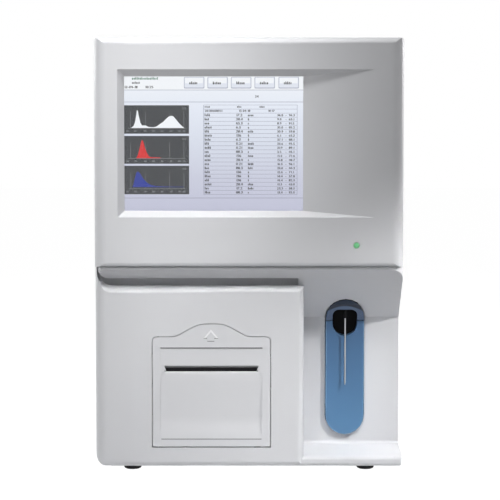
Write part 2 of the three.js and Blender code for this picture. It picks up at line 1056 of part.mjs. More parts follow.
function lowerFrontCover() {
  const baseInner = halfWidth - bottomReturn;
  const baseOpening = block(
    -baseInner,
    baseInner,
    frontEdge + overrun,
    mouldDepth + overrun,
    footHeight - overrun,
    footHeight + mouldWall,
  );
  const top = lipHeight - seam;
  const inside = halfWidth - frontEdge;
  const topOpening = block(
    -inside,
    inside,
    frontEdge,
    mouldDepth + overrun,
    top - mouldWall - overrun,
    top + overrun,
  );
  const hingeRelief = block(
    doorX - doorWidth / 2,
    doorX + doorWidth / 2,
    moduleFront + mouldWall / 3,
    moduleFront + mouldWall + overrun,
    doorBottom - mouldWall,
    doorBottom + overrun,
  );
  return lowerSolid(0)
    .subtract(grooveSolid(0))
    .subtract(lowerSolid(mouldWall).subtract(grooveSolid(mouldWall)))
    .subtract(prismY(doorOutline(-doorSeam), 0, moduleFront + mouldWall + overrun))
    .subtract(hingeRelief)
    .subtract(prismY(stadium(keyBottom, hoodTop, -keyGap), slopeStart, mouldDepth + overrun))
    .subtract(baseOpening)
    .subtract(topOpening)
    .add(pivotLug(1))
    .add(pivotLug(-1));
}

// Sheet-metal casing behind the front mouldings

function casingRing() {
  const hollow = [...bodyOutline(sheet)].reverse();
  return prismY(bodyOutline(0), mouldDepth + seam, caseDepth, [hollow]);
}

function topCover() {
  const span = halfWidth + overrun;
  return casingRing().intersect(
    block(-span, span, 0, overallDepth, coverTopHeight, caseTop + overrun),
  );
}

// Rows of vent slots through a side panel, in the rear half.
function sideVents(side) {
  const [x0, x1] = rising(side * (halfWidth - sheet - overrun), side * (halfWidth + overrun));
  const pitch = sideVentLength + sideVentRib;
  const first = caseDepth - sideVentInset + sideVentRib - sideVentColumns * pitch;
  const slots = [];
  for (let row = 0; row < sideVentRows; row += 1) {
    for (let column = 0; column < sideVentColumns; column += 1) {
      const start = first + column * pitch;
      const low = sideVentBottom + row * sideVentPitch;
      const slot = rectangle(
        deep(start),
        deep(start + sideVentLength),
        low,
        low + ventTall,
        ventTall / 2,
        1,
      );
      slots.push(prismX(slot, x0, x1));
    }
  }
  return slots.reduce((all, slot) => all.add(slot));
}

function sidePanel(side) {
  const [x0, x1] = rising(side * (halfWidth - bottomReturn), side * (halfWidth + overrun));
  const half = block(x0, x1, 0, overallDepth, 0, coverTopHeight - seam);
  return casingRing().intersect(half).subtract(sideVents(side));
}

function basePlate() {
  const half = halfWidth - bottomReturn - seam;
  const front = frontEdge + overrun + seam;
  return block(-half, half, front, caseDepth - rearInset, footHeight, footHeight + sheet);
}

const insideFloor = footHeight + sheet + touchGap;

// The upright steel plate that carries the fluidics in front and the electronics behind.
function midPlate() {
  const half = halfWidth - sheet - mouldWall;
  const back = midPlateDepth + sheet;
  const plate = block(-half, half, midPlateDepth, back, insideFloor, midPlateTop);
  const foot = block(
    -half,
    half,
    midPlateDepth,
    midPlateDepth + midPlateFlange,
    insideFloor,
    insideFloor + sheet,
  );
  const crest = block(
    -half,
    half,
    midPlateDepth,
    midPlateDepth + midPlateFlange,
    midPlateTop - sheet,
    midPlateTop,
  );
  const motorHole = rodY(
    pulleyX,
    drivePulleyZ,
    liftMotorSize / 2 + overrun,
    midPlateDepth - overrun,
    back + overrun,
  );
  const cableHole = rodY(
    -half + cableHoleInset,
    midPlateTop - cableHoleInset,
    cableHoleInset / 2,
    midPlateDepth - overrun,
    back + overrun,
  );
  return plate.add(foot).add(crest).subtract(motorHole).subtract(cableHole);
}

function foot(x, depth) {
  const top = footHeight - touchGap;
  const profile = [
    [0, 0],
    [footSoleRadius, 0],
    [footSoleRadius + footShoulder / 2, footShoulder / 4],
    [footRadius - footShoulder / 4, footShoulder],
    [footRadius, footShoulder * 2],
    [footRadius, top],
    [0, top],
  ];
  return turnedZ(profile, x, depth, footSides);
}

// Display

function touchGlass() {
  const front = pocketDepth + windowLip + touchGap;
  return slab(grown(screenRectangle(0), glassBorder), front, front + glassThick);
}

const lcdDepth = pocketDepth + windowLip + glassThick + 2 * touchGap;

function lcdModule() {
  const back = lcdDepth + lcdThick;
  const body = slab(grown(screenRectangle(0), lcdBorder), lcdDepth + 2 * touchGap, back);
  const cellBack = slab(grown(screenRectangle(0), -glassBorder), back, back + lcdRise);
  return body.add(cellBack);
}

// The plate behind the display, on four posts that meet the pocket's rim.
function displayBracket() {
  const front = lcdDepth + lcdThick + lcdRise + touchGap;
  const back = front + sheet;
  const [x0, x1, z0, z1] = grown(screenRectangle(0), bracketBorder);
  const plate = slab([x0, x1, z0, z1], front, back);
  const window = slab(grown(screenRectangle(0), -bracketRim), front - overrun, back + overrun);
  const postFront = pocketDepth + mouldWall + touchGap;
  let bracket = plate.subtract(window);
  for (const x of [x0 + displayPost, x1 - displayPost]) {
    for (const z of [z0 + displayPost, z1 - displayPost]) {
      bracket = bracket.add(rodY(x, z, displayPost, postFront, front + sheet / 2, postSides));
    }
  }
  return bracket;
}

function statusLed() {
  const seat = mouldWall + touchGap;
  const profile = [
    [0, 0],
    [ledRadius * ledCrownShare, ledDome / 4],
    [ledRadius, ledDome],
    [ledRadius, seat],
    [ledRadius + ledFlange, seat],
    [ledRadius + ledFlange, seat + ledFlange],
    [0, seat + ledFlange],
  ];
  return turnedY(profile, ledX, ledZ, smallSides);
}

// Sampling window

function holeOutline(inset) {
  const half = holeWidth / 2;
  return outline(
    [
      [keyX - half, holeBottom, half],
      [keyX + half, holeBottom, half],
      [keyX + half, holeTop, half / 2],
      [keyX - half, holeTop, half / 2],
    ],
    inset,
  );
}

// The depth of the sloped ceiling at a height.
function slopeDepth(z) {
  const top = lipHeight - seam - slopeDrop;
  return slopeStart + ((top - z) * (recessDepth - slopeStart)) / (top - ceilingFoot);
}

// The face of the hood: the slope at the crescent, then the steeper floor of the niche.
function hoodProfile(bottom, back) {
  const crescentDepth = slopeDepth(hoodTop) + touchGap;
  const crescentFoot = slopeDepth(hoodFloorTop) + touchGap;
  const foot = recessDepth - keyProud;
  return [
    [deep(crescentDepth + back), hoodTop],
    [deep(crescentFoot + back), hoodFloorTop],
    [deep(hoodFloorFront + back), hoodFloorTop],
    [deep(foot + back), bottom],
  ];
}

// The blue hood over the probe: a thin skin that follows the slope, with a niche pressed into it.
function probeHood() {
  const bottom = keyTop + keyGap;
  const left = keyX - keyRadius;
  const right = keyX + keyRadius;
  const plug = prismY(stadium(keyBottom, hoodTop, touchGap), slopeStart, mouldDepth);
  const skin = [...hoodProfile(bottom, 0), ...hoodProfile(bottom, hoodThick).reverse()];
  const floor = [...hoodProfile(bottom, hoodThick / 4), [deep(0), bottom], [deep(0), hoodTop]];
  const niche = prismY(stadium(keyBottom, hoodTop - hoodCrescent, 4 * touchGap), 0, mouldDepth);
  const nozzleRelief = rodZ(
    keyX,
    probeDepth,
    nozzleRadius + touchGap,
    holeTop - overrun,
    hoodTop + overrun,
    smallSides,
  );
  return plug
    .intersect(prismX(skin, left, right))
    .subtract(niche.intersect(prismX(floor, left, right)))
    .subtract(nozzleRelief)
    .subtract(prismY(holeOutline(0), 0, overallDepth));
}

// One ear of the key with its trunnion, which turns in a lug of the front cover.
function keyEar(side, back) {
  const outer = keyX + side * keyRadius;
  const inner = outer - side * keyWall;
  const [x0, x1] = rising(inner, outer);
  const ear = block(
    x0,
    x1,
    back - keyWall,
    pivotDepth + 2 * pivotRadius,
    pivotHeight - 2 * pivotRadius,
    pivotHeight + 2 * pivotRadius,
  );
  const [from, to] = rising(inner, outer + side * (pivotReach - keyGap));
  return ear.add(rodX(pivotDepth, pivotHeight, pivotRadius, from, to, smallSides));
}

function startKey() {
  const face = recessDepth - keyProud;
  const back = recessDepth + mouldWall + keySkirt;
  const below = block(
    keyX - 2 * keyRadius,
    keyX + 2 * keyRadius,
    0,
    overallDepth,
    0,
    keyTop,
  );
  const skin = prismY(stadium(keyBottom, hoodTop, 0), face, back);
  const hollow = prismY(
    stadium(keyBottom, hoodTop, keyWall),
    face + keyFaceThick,
    back + overrun,
  );
  const collar = prismY(holeOutline(-keyWall), face, back);
  return skin
    .subtract(hollow)
    .add(collar.intersect(skin))
    .subtract(prismY(holeOutline(0), 0, overallDepth))
    .add(keyEar(1, back))
    .add(keyEar(-1, back))
    .intersect(below);
}

// The switch behind the key, on a bridge that stands on two posts.
function keySwitch() {
  const z = keyBottom + keyRadius;
  const low = z - switchTall;
  const high = z + switchTall;
  const front = recessDepth + mouldWall + keySkirt + switchSpace;
  const back = front + switchDepth;
  const tip = recessDepth - keyProud + keyFaceThick + keyStroke;
  const bridge = keyRadius + switchReach;
  const postFront = recessDepth + mouldWall + touchGap;
  const body = block(
    keyX - switchTall,
    keyX + switchTall,
    front,
    back,
    z - switchTall / 2,
    z + switchTall / 2,
  );
  const button = block(keyX - sheet, keyX + sheet, tip, front + sheet, z - sheet, z + sheet);
  const beam = block(keyX - bridge, keyX + bridge, back - sheet, back + sheet, low, high);
  let holder = body.add(button).add(beam);
  for (const side of [-1, 1]) {
    const [x0, x1] = rising(keyX + side * bridge, keyX + side * (bridge - 2 * sheet));
    holder = holder.add(block(x0, x1, postFront, back + sheet, low, high));
  }
  return holder;
}

// Probe and its belt lift

function probeNeedle() {
  const profile = [
    [0, needleTip],
    [needleRadius / 2, needleTip],
    [needleRadius, needleTip + needlePoint],
    [needleRadius, needleTop],
    [0, needleTop],
  ];
  return turnedZ(profile, keyX, probeDepth, smallSides);
}

// The block that wipes the needle, with the guide nozzle on its arm.
function wipeBlock() {
  const half = holeWidth / 2 + wipeMargin;
  const back = bracketFace - touchGap;
  const front = pivotDepth + keySkirt;
  const collarRadius = nozzleRadius * nozzleCollarShare;
  const wall = block(
    keyX - half,
    keyX + half,
    front,
    back,
    wipeBottom,
    bracketBottom + keySkirt + overrun,
  );
  const arm = block(
    keyX - half / 2,
    keyX + half / 2,
    probeDepth + needleRadius,
    back,
    wipeArmBottom,
    nozzleTop,
  );
  const nozzle = turnedZ(
    [
      [0, nozzleBottom],
      [nozzleRadius, nozzleBottom],
      [nozzleRadius, wipeArmBottom - nozzleRadius],
      [collarRadius, wipeArmBottom],
      [collarRadius, nozzleTop],
      [0, nozzleTop],
    ],
    keyX,
    probeDepth,
    smallSides,
  );
  const bore = rodZ(
    keyX,
    probeDepth,
    boreFor(needleRadius),
    nozzleBottom - overrun,
    nozzleTop + overrun,
    smallSides,
  );
  return wall.add(arm).add(nozzle).subtract(bore);
}

// The carriage that slides on the rail, holds the needle and is clamped to the belt's left run.
function probeCarriage() {
  const half = carriageWidth / 2;
  const top = carriageBottom + carriageHeight;
  const railFront = railDepth - railThick / 2;
  const shoeFront = railFront - carriageWall;
  const clampDepth = pulleyDepth + (pulleyWidth - beltWidth) / 2;
  const clampEnd = pulleyX - beltInner - beltThick - touchGap;
  const shoe = block(
    keyX - half,
    keyX + half,
    shoeFront,
    railDepth + railThick / 2,
    carriageBottom,
    top,
  );
  const arm = block(
    keyX - half / 2,
    keyX + half / 2,
    probeDepth - half / 2,
    shoeFront + overrun,
    carriageBottom,
    top,
  );
  const clampArm = block(
    keyX + half - overrun,
    clampEnd,
    clampDepth,
    clampDepth + beltWidth,
    carriageBottom + clampInset,
    top - clampInset,
  );
  const groove = block(
    keyX - railWidth / 2 - touchGap,
    keyX + railWidth / 2 + touchGap,
    railFront - touchGap,
    railDepth + railThick,
    carriageBottom - overrun,
    top + overrun,
  );
  const bore = rodZ(
    keyX,
    probeDepth,
    boreFor(needleRadius),
    carriageBottom - overrun,
    top + overrun,
    smallSides,
  );
  return shoe.add(arm).add(clampArm).subtract(groove).subtract(bore);
}

const railTop = carriageBottom + carriageHeight + liftTravel + overrun;

function guideRail() {
  const half = railWidth / 2;
  return block(
    keyX - half,
    keyX + half,
    railDepth - railThick / 2,
    bracketFace - touchGap,
    railBottom,
    railTop,
  );
}

// The channel-shaped bracket of the lift, with the idler pulley's stud.
function liftBracket() {
  const back = midPlateDepth - touchGap;
  const faceBack = bracketFace + sheet;
  const plate = block(
    bracketLeft,
    bracketRight,
    bracketFace,
    faceBack,
    bracketBottom,
    bracketTop,
  );
  const left = block(
    bracketLeft,
    bracketLeft + sheet,
    bracketFace,
    back,
    bracketBottom,
    bracketTop,
  );
  const right = block(
    bracketRight - sheet,
    bracketRight,
    bracketFace,
    back,
    bracketBottom,
    bracketTop,
  );
  const top = block(
    bracketLeft,
    bracketRight,
    bracketFace,
    back,
    bracketTop - sheet,
    bracketTop,
  );
  const bossHole = rodY(
    pulleyX,
    drivePulleyZ,
    liftBossRadius + touchGap,
    bracketFace - overrun,
    faceBack + overrun,
  );
  const stud = rodY(
    pulleyX,
    idlerPulleyZ,
    pulleyShaft,
    pulleyDepth - overrun,
    bracketFace + sheet / 2,
    smallSides,
  );
  return plate.add(left).add(right).add(top).subtract(bossHole).add(stud);
}

// A toothed pulley with two flanges.
function pulley(z) {
  const back = pulleyDepth + pulleyWidth;
  const rim = pulleyRadius + beltThick;
  const points = [];
  for (let i = 0; i < pulleyTeeth; i += 1) {
    for (const [share, radius] of [
      [pulleyToothShares[0], pulleyRadius],
      [pulleyToothShares[1], pulleyRadius],
      [pulleyToothShares[2], pulleyRadius - pulleyToothDepth],
      [pulleyToothShares[3], pulleyRadius - pulleyToothDepth],
    ]) {
      const angle = ((i + share) * fullTurn) / pulleyTeeth;
      points.push([pulleyX + radius * Math.cos(angle), z + radius * Math.sin(angle)]);
    }
  }
  const core = prismY(points, pulleyDepth, back);
  const frontFlange = rodY(pulleyX, z, rim, pulleyDepth - pulleyFlange, pulleyDepth);
  const backFlange = rodY(pulleyX, z, rim, back, back + pulleyFlange);
  const bore = rodY(
    pulleyX,
    z,
    boreFor(pulleyShaft),
    pulleyDepth - overrun,
    back + overrun,
    smallSides,
  );
  return core.add(frontFlange).add(backFlange).subtract(bore);
}

// The belt's loop at one radius: two straight runs and a half turn round each pulley.
function beltLoop(radius) {
  const points = [];
  const steps = roundSides / 2;
  for (let i = 0; i <= steps; i += 1) {
    const angle = (i * Math.PI) / steps;
    const x = pulleyX + radius * Math.cos(angle);
    points.push([x, idlerPulleyZ + radius * Math.sin(angle)]);
  }
  for (let i = 0; i <= steps; i += 1) {
    const angle = Math.PI + (i * Math.PI) / steps;
    const x = pulleyX + radius * Math.cos(angle);
    points.push([x, drivePulleyZ + radius * Math.sin(angle)]);
  }
  return points;
}

function driveBelt() {
  const start = pulleyDepth + (pulleyWidth - beltWidth) / 2;
  const inner = [...beltLoop(beltInner)].reverse();
  return prismY(beltLoop(beltInner + beltThick), start, start + beltWidth, [inner]);
}

function liftMotor() {
  const half = liftMotorSize / 2;
  const face = bracketFace + sheet + touchGap;
  const right = pulleyX + half - liftMotorTrim;
  const body = prismY(
    rectangle(
      pulleyX - half,
      right,
      drivePulleyZ - half,
      drivePulleyZ + half,
      liftMotorCorner,
    ),
    face,
    face + liftMotorLength,
  );
  const boss = rodY(pulleyX, drivePulleyZ, liftBossRadius, face - sheet, face + overrun);
  const shaft = rodY(
    pulleyX,
    drivePulleyZ,
    pulleyShaft,
    pulleyDepth - overrun,
    face + overrun,
    smallSides,
  );
  return body.add(boss).add(shaft);
}

// Printer

const slotTop = slotBottom + slotHeight;
const doorLip = slotBottom - doorLipDrop;

// The hollowed face of the door's panel, from its lip under the slot down to its foot.
function panelFace() {
  const rise = doorLip - panelBottom;
  const knots = panelShares.map(
    ([depthShare, heightShare]) =>
      new THREE.Vector2(
        deep(moduleFront + depthShare * panelDip),
        panelBottom + heightShare * rise,
      ),
  );
  const points = new THREE.SplineCurve(knots).getPoints(3 * arcSteps);
  return points.map((point) => [point.x, point.y]);
}

// The door: a plate with the hollowed panel, the slot, a stiff brow and two cheeks on the hinge rod.
function printerDoor() {
  const front = moduleFront;
  const back = front + doorThick;
  const panelBack = front + panelDip + doorPanelWall;
  const innerLeft = doorX - panelWidth / 2;
  const innerRight = doorX + panelWidth / 2;
  const outerLeft = doorX - doorWidth / 2 - overrun;
  const outerRight = doorX + doorWidth / 2 + overrun;
  const browTop = doorShoulder - doorCorner;
  const face = panelFace();
  const hollow = prismX(
    [
      [deep(back + overrun), doorLip],
      [deep(back + overrun), slotTop],
      [deep(front + panelStep + slotChamfer), slotTop],
      [deep(front + panelStep), slotTop + slotChamfer],
      [deep(front + panelStep), panelTop],
      [deep(front - overrun), panelTop],
      [deep(front - overrun), panelBottom],
      ...[...face].reverse(),
    ],
    innerLeft,
    innerRight,
  );
  const panel = prismX(
    [...face, [deep(panelBack), panelBottom], [deep(panelBack), doorLip]],
    innerLeft - doorThick / 2,
    innerRight + doorThick / 2,
  );
  const brow = block(
    innerLeft + doorFlange,
    innerRight - doorFlange,
    front,
    front + 2 * doorThick,
    slotTop,
    browTop,
  );
  const toe = prismX(
    [
      [deep(front - overrun), doorBottom - overrun],
      [deep(front + doorToe + overrun), doorBottom - overrun],
      [deep(front - overrun), doorBottom + doorToe + overrun],
    ],
    outerLeft,
    outerRight,
  );
  let door = prismY(doorOutline(0), front, back)
    .subtract(toe)
    .subtract(hollow)
    .add(panel.subtract(hollow))
    .add(brow.subtract(hollow));
  for (const x of [innerLeft, innerRight - slotInset]) {
    door = door.add(
      block(x, x + slotInset, front, back, doorLip - overrun, slotTop + overrun),
    );
  }
  return door.add(doorCheek(1)).add(doorCheek(-1));
}

// The cheek behind the door that turns on the hinge rod and carries one end of the platen.
function doorCheek(side) {
  const inner = doorX + side * (bayInner / 2 + bayWall + seam);
  const [x0, x1] = rising(inner, inner + side * cheekThick);
  const foot = doorBottom + doorToe;
  const front = deep(moduleFront + doorThick / 2);
  const back = deep(platenDepth + 2 * platenShaft);
  const plate = prismX(
    outline([
      [front, foot, 0],
      [deep(hingeDepth + knuckleRadius + doorToe), foot, cheekCorner],
      [back, platenZ - 3 * platenShaft, cheekCorner],
      [back, platenZ + 2 * platenShaft, cheekCorner],
      [front, platenZ + 5 * platenShaft, 0],
    ]),
    x0,
    x1,
  );
  const hingeBore = rodX(
    hingeDepth,
    hingeHeight,
    boreFor(hingeRadius),
    x0 - overrun,
    x1 + overrun,
    smallSides,
  );
  const platenBore = rodX(
    platenDepth,
    platenZ,
    boreFor(platenShaft),
    x0 - overrun,
    x1 + overrun,
    smallSides,
  );
  return plate.subtract(hingeBore).subtract(platenBore);
}

// The tray and side walls of the paper bay.
function paperTray() {
  const half = bayInner / 2;
  const outerHalf = half + bayWall;
  const bottom = bayFloor - bayWall;
  const openFront = bayFront - 2 * overrun;
  const walls = outline([
    [deep(bayFront), bottom, bayWall],
    [deep(bayBack), bottom, 3 * bayWall],
    [deep(bayBack), bayTop, bayWall],
    [deep(bayShoulderDepth), bayTop, bayWall],
    [deep(bayShoulderDepth), bayShoulder, bayWall],
    [deep(bayFront), bayShoulder, bayWall],
  ]);
  const cavity = outline([
    [deep(openFront), bayFloor, 0],
    [deep(bayBack - bayWall), bayFloor, 2 * bayWall],
    [deep(bayBack - bayWall), bayTop + overrun, 0],
    [deep(openFront), bayTop + overrun, 0],
  ]);
  let tray = prismX(walls, doorX - outerHalf, doorX + outerHalf).subtract(
    prismX(cavity, doorX - half, doorX + half),
  );
  for (const side of [-1, 1]) {
    const x = doorX + side * (outerHalf - 3 * bayWall);
    tray = tray.add(
      block(
        x - 2 * bayWall,
        x + 2 * bayWall,
        bayBack - bayLegStart,
        bayBack - bayLegEnd,
        insideFloor,
        bayFloor - bayWall / 2,
      ),
    );
  }
  return tray;
}

function printerFrame() {
  const half = bayInner / 2;
  const outerHalf = half + bayWall;
  const left = doorX - outerHalf;
  const right = doorX + outerHalf;
  const neck = knuckleRadius * neckShare;
  const hingeBore = rodX(
    hingeDepth,
    hingeHeight,
    boreFor(hingeRadius),
    left - overrun,
    right + overrun,
    smallSides,
  );
  const knuckle = rodX(hingeDepth, hingeHeight, knuckleRadius, left, right);
  const arm = block(
    left,
    right,
    hingeDepth,
    bayFront + 2 * overrun,
    hingeHeight - neck,
    hingeHeight + neck,
  );
  const between = block(
    doorX - half,
    doorX + half,
    0,
    bayFront + 3 * overrun,
    bayFloor,
    bayShoulder,
  );
  return paperTray()
    .add(knuckle.add(arm).subtract(between))
    .add(gearPlate())
    .subtract(hingeBore);
}

const cheekOuter = bayInner / 2 + bayWall + seam + cheekThick;
const gearX = doorX + cheekOuter + gearSpace;
const gearEnd = gearX + gearWidth;
const idlerDepth = platenDepth + ((platenTeeth + idlerTeeth) * gearModule) / 2 + gearPlay;
const pinionDepth = idlerDepth + ((idlerTeeth + pinionTeeth) * gearModule) / 2 + gearPlay;
const gearPlateX = gearEnd + gearPlateSpace;

// The bracket on the right of the paper bay that carries the idler's stud and the motor.
function gearPlate() {
  const root = doorX + bayInner / 2 + bayWall / 2;
  const low = platenZ - gearPlateHalf;
  const high = platenZ + gearPlateHalf;
  const outer = gearPlateX + bayWall;
  const stud = rodX(idlerDepth, platenZ, idlerStud, root, gearEnd + touchGap, smallSides);
  const plate = block(
    gearPlateX,
    outer,
    pinionDepth - printerMotorRadius,
    bayBack,
    low,
    high,
  );
  const bridge = block(root, outer, bayBack - 2 * bayWall, bayBack, low, high);
  const bossHole = rodX(
    pinionDepth,
    platenZ,
    printerBoss + seam,
    gearPlateX - overrun,
    outer + overrun,
    smallSides,
  );
  return stud.add(plate.subtract(bossHole)).add(bridge);
}

function doorHingeRod() {
  const reach = cheekOuter + gearSpace;
  return rodX(hingeDepth, hingeHeight, hingeRadius, doorX - reach, doorX + reach, smallSides);
}

function paperRoll() {
  const half = rollWidth / 2;
  const centre = bayFloor + 2 * touchGap + rollRadius;
  const core = [...circle(deep(rollDepth), centre, rollCore, smallSides)].reverse();
  const rim = circle(deep(rollDepth), centre, rollRadius, 2 * footSides);
  return prismX(rim, doorX - half, doorX + half, [core]);
}

function platenRoller() {
  const half = bayInner / 2 - platenEnd;
  const left = doorX - cheekOuter - gearSpace;
  const roller = rodX(platenDepth, platenZ, platenRadius, doorX - half, doorX + half);
  const shaft = rodX(
    platenDepth,
    platenZ,
    platenShaft,
    left,
    gearEnd + gearSpace,
    smallSides,
  );
  return roller.add(shaft);
}

// A spur gear of the printer's train at one depth, bored for its shaft.
function trainGear(depth, teeth, phase, shaft) {
  const bore = circle(deep(depth), platenZ, boreFor(shaft), smallSides);
  const shape = gearOutline(deep(depth), platenZ, teeth, phase);
  return prismX(shape, gearX, gearEnd, [[...bore].reverse()]);
}

function platenGear() {
  return trainGear(platenDepth, platenTeeth, 0, platenShaft);
}

function printerIdlerGear() {
  return trainGear(idlerDepth, idlerTeeth, Math.PI + Math.PI / idlerTeeth, idlerStud);
}

function printerPinion() {
  return trainGear(pinionDepth, pinionTeeth, Math.PI, motorShaft);
}

function printerMotor() {
  const face = gearPlateX + bayWall + touchGap;
  const body = rodX(
    pinionDepth,
    platenZ,
    printerMotorRadius,
    face,
    face + printerMotorLength,
  );
  const boss = rodX(
    pinionDepth,
    platenZ,
    printerBoss,
    face - bayWall + touchGap,
    face + overrun,
    smallSides,
  );
  const shaft = rodX(pinionDepth, platenZ, motorShaft, gearX, face + overrun, smallSides);
  return body.add(boss).add(shaft);
}

// The print head: a heated plate against the platen, its heat sink and the arm to the bay's back wall.
function printHead() {
  const front = platenDepth + platenRadius + seam;
  const plateBack = front + headThick;
  const half = bayInner / 2 - headMargin;
  const inner = half - 3 * headMargin;
  const sinkTop = platenZ + headSinkTop;
  const plate = block(
    doorX - half,
    doorX + half,
    front,
    plateBack,
    platenZ - headHalf,
    platenZ + headHalf,
  );
  const sink = block(
    doorX - inner,
    doorX + inner,
    plateBack - headThick / 3,
    bayShoulderDepth - overrun,
    platenZ - headHalf / 2,
    sinkTop,
  );
  const arm = block(
    doorX - inner,
    doorX + inner,
    plateBack - headThick / 3,
    bayBack - bayWall - touchGap,
    sinkTop - headArm,
    sinkTop,
  );
  return plate.add(sink).add(arm);
}

// Fluidics

const fluidicsBack = midPlateDepth - touchGap;
const shelfTop = syringeBottom - shelfGap;
const barrelTop = syringeBottom + barrelLength;
const screwX = syringeX + screwOffset;

function syringeBracket() {
  const left = syringeX - syringeHalf;
  const right = syringeX + syringeHalf;
  const shelfRight = right + screwOffset / 2;
  const plateFront = fluidicsBack - bracketThick;
  const shelfFront = syringeDepth - shelfReach;
  const top = barrelTop + syringeTopRoom;
  const capBottom = barrelTop + capGap;
  const plate = block(left, shelfRight, plateFront, fluidicsBack, syringeFoot, top);
  const shelf = block(
    left,
    shelfRight,
    shelfFront,
    plateFront + overrun,
    shelfTop - shelfThick,
    shelfTop,
  );
  const rodHole = rodZ(
    syringeX,
    syringeDepth,
    plungerRod + overrun,
    shelfTop - shelfThick - overrun,
    shelfTop + overrun,
    smallSides,
  );
  const screwHole = rodZ(
    screwX,
    syringeDepth,
    screwRadius + seam,
    shelfTop - shelfThick - overrun,
    shelfTop + overrun,
    smallSides,
  );
  const cap = block(
    left,
    right,
    shelfFront,
    plateFront + overrun,
    capBottom,
    capBottom + shelfThick,
  );
  return plate.add(shelf.subtract(rodHole).subtract(screwHole)).add(cap);
}

function syringeBarrel() {
  const bottom = shelfTop + seam;
  const boreTop = barrelTop - barrelEnd;
  const outer = rodZ(syringeX, syringeDepth, barrelRadius, bottom, barrelTop, footSides);
  const bore = rodZ(
    syringeX,
    syringeDepth,
    barrelBore,
    bottom - overrun,
    boreTop,
    footSides,
  );
  const port = rodZ(
    syringeX,
    syringeDepth,
    barrelPort,
    boreTop - overrun,
    barrelTop + overrun,
    smallSides,
  );
  return outer.subtract(bore).subtract(port);
}

// The plunger with its bar and the nut that runs on the lead screw.
function syringePlunger() {
  const pistonTop = syringeBottom + plungerRest;
  const piston = rodZ(
    syringeX,
    syringeDepth,
    barrelBore - 2 * runningGap,
    pistonTop - pistonThick,
    pistonTop,
    footSides,
  );
  const rod = rodZ(syringeX, syringeDepth, plungerRod, pusherBottom, pistonTop, smallSides);
  const bar = block(
    syringeX - pusherEnd,
    screwX + pusherHalf,
    syringeDepth - pusherHalf,
    syringeDepth + pusherHalf,
    pusherBottom,
    pusherBottom + pusherThick,
  );
  const nut = rodZ(
    screwX,
    syringeDepth,
    screwRadius + touchGap,
    pusherBottom - overrun,
    pusherBottom + pusherThick + overrun,
    smallSides,
  );
  return piston.add(rod).add(bar.subtract(nut));
}

const syringeMotorTop = insideFloor + syringeMotorHeight;

function leadScrew() {
  const bottom = syringeMotorTop + bossHeight + touchGap;
  return rodZ(screwX, syringeDepth, screwRadius, bottom, shelfTop + screwEnd, smallSides);
}

function syringeMotor() {
  const half = syringeMotorSize / 2;
  const body = prismZ(
    rectangle(
      screwX - half,
      screwX + half,
      deep(syringeDepth - half),
      deep(syringeDepth + half),
      liftMotorCorner,
    ),
    insideFloor,
    syringeMotorTop,
  );
  const boss = rodZ(
    screwX,
    syringeDepth,
    bossRadius,
    syringeMotorTop - overrun,
    syringeMotorTop + bossHeight,
  );
  return body.add(boss);
}

// An open counting bath with a conical foot, a spout and a mounting block.
function bath(x) {
  const z = bathBottom;
  const rim = z + bathHeight;
  const outer = turnedZ(
    [
      [0, z - bathCone - bathSpout],
      [bathSpoutRadius, z - bathCone - bathSpout],
      [bathSpoutRadius, z - bathCone],
      [bathRadius, z],
      [bathRadius, rim],
      [0, rim],
    ],
    x,
    bathDepth,
    footSides,
  );
  const bore = turnedZ(
    [
      [0, z - bathCone + bathFloor],
      [bathSpoutRadius / 3, z - bathCone + bathFloor],
      [bathBore, z + seam],
      [bathBore, rim + overrun],
      [0, rim + overrun],
    ],
    x,
    bathDepth,
    footSides,
  );
  const mount = block(
    x - bathMountHalf,
    x + bathMountHalf,
    bathDepth + bathBore + seam,
    fluidicsBack,
    z + bathMountLow,
    z + bathMountLow + bathMountTall,
  );
  return outer.subtract(bore).add(mount);
}

const backFace = midPlateDepth + sheet + touchGap;

// Pinch valves in a row on one manifold, on the back of the middle plate.
function valveBank() {
  const manifoldBack = backFace + manifoldThick;
  let bank = block(
    valveLeft - manifoldHalf,
    valveLeft + (valveCount - 1) * valvePitch + manifoldHalf,
    backFace,
    manifoldBack,
    valveZ - manifoldHalf,
    valveZ + manifoldHalf,
  );
  for (let i = 0; i < valveCount; i += 1) {
    const x = valveLeft + i * valvePitch;
    const coil = rodY(
      x,
      valveZ,
      valveRadius,
      manifoldBack - overrun,
      manifoldBack + valveLength,
      smallSides,
    );
    bank = bank.add(coil);
  }
  return bank;
}

function vacuumPump() {
  const motorZ = insideFloor + pumpPlinth + pumpMotorRadius + pumpLift;
  const headFront = pumpDepth + pumpMotorLength / 2;
  const headBack = headFront + pumpHeadLength;
  const plinth = block(
    pumpX - pumpHalf,
    pumpX + pumpHalf,
    pumpDepth - pumpMotorLength / 2,
    headBack + overrun,
    insideFloor,
    insideFloor + pumpPlinth,
  );
  const motor = rodY(
    pumpX,
    motorZ,
    pumpMotorRadius,
    pumpDepth - pumpMotorLength / 2,
    headFront + overrun,
  );
  const head = block(
    pumpX - pumpHeadHalf,
    pumpX + pumpHeadHalf,
    headFront,
    headBack,
    insideFloor + pumpPlinth / 2,
    insideFloor + pumpHeadTop,
  );
  const saddle = block(
    pumpX - pumpHeadHalf / 2,
    pumpX + pumpHeadHalf / 2,
    pumpDepth - pumpMotorLength / 3,
    headFront + overrun,
    insideFloor + pumpPlinth / 2,
    motorZ,
  );
  let pump = plinth.add(motor).add(head).add(saddle);
  for (const side of [-1, 1]) {
    const stub = rodZ(
      pumpX + (side * pumpHeadHalf) / 2,
      (headFront + headBack) / 2,
      pumpStubRadius,
      insideFloor + pumpHeadTop - overrun,
      insideFloor + pumpHeadTop + pumpStub,
      smallSides,
    );
    pump = pump.add(stub);
  }
  return pump;
}

// Electronics

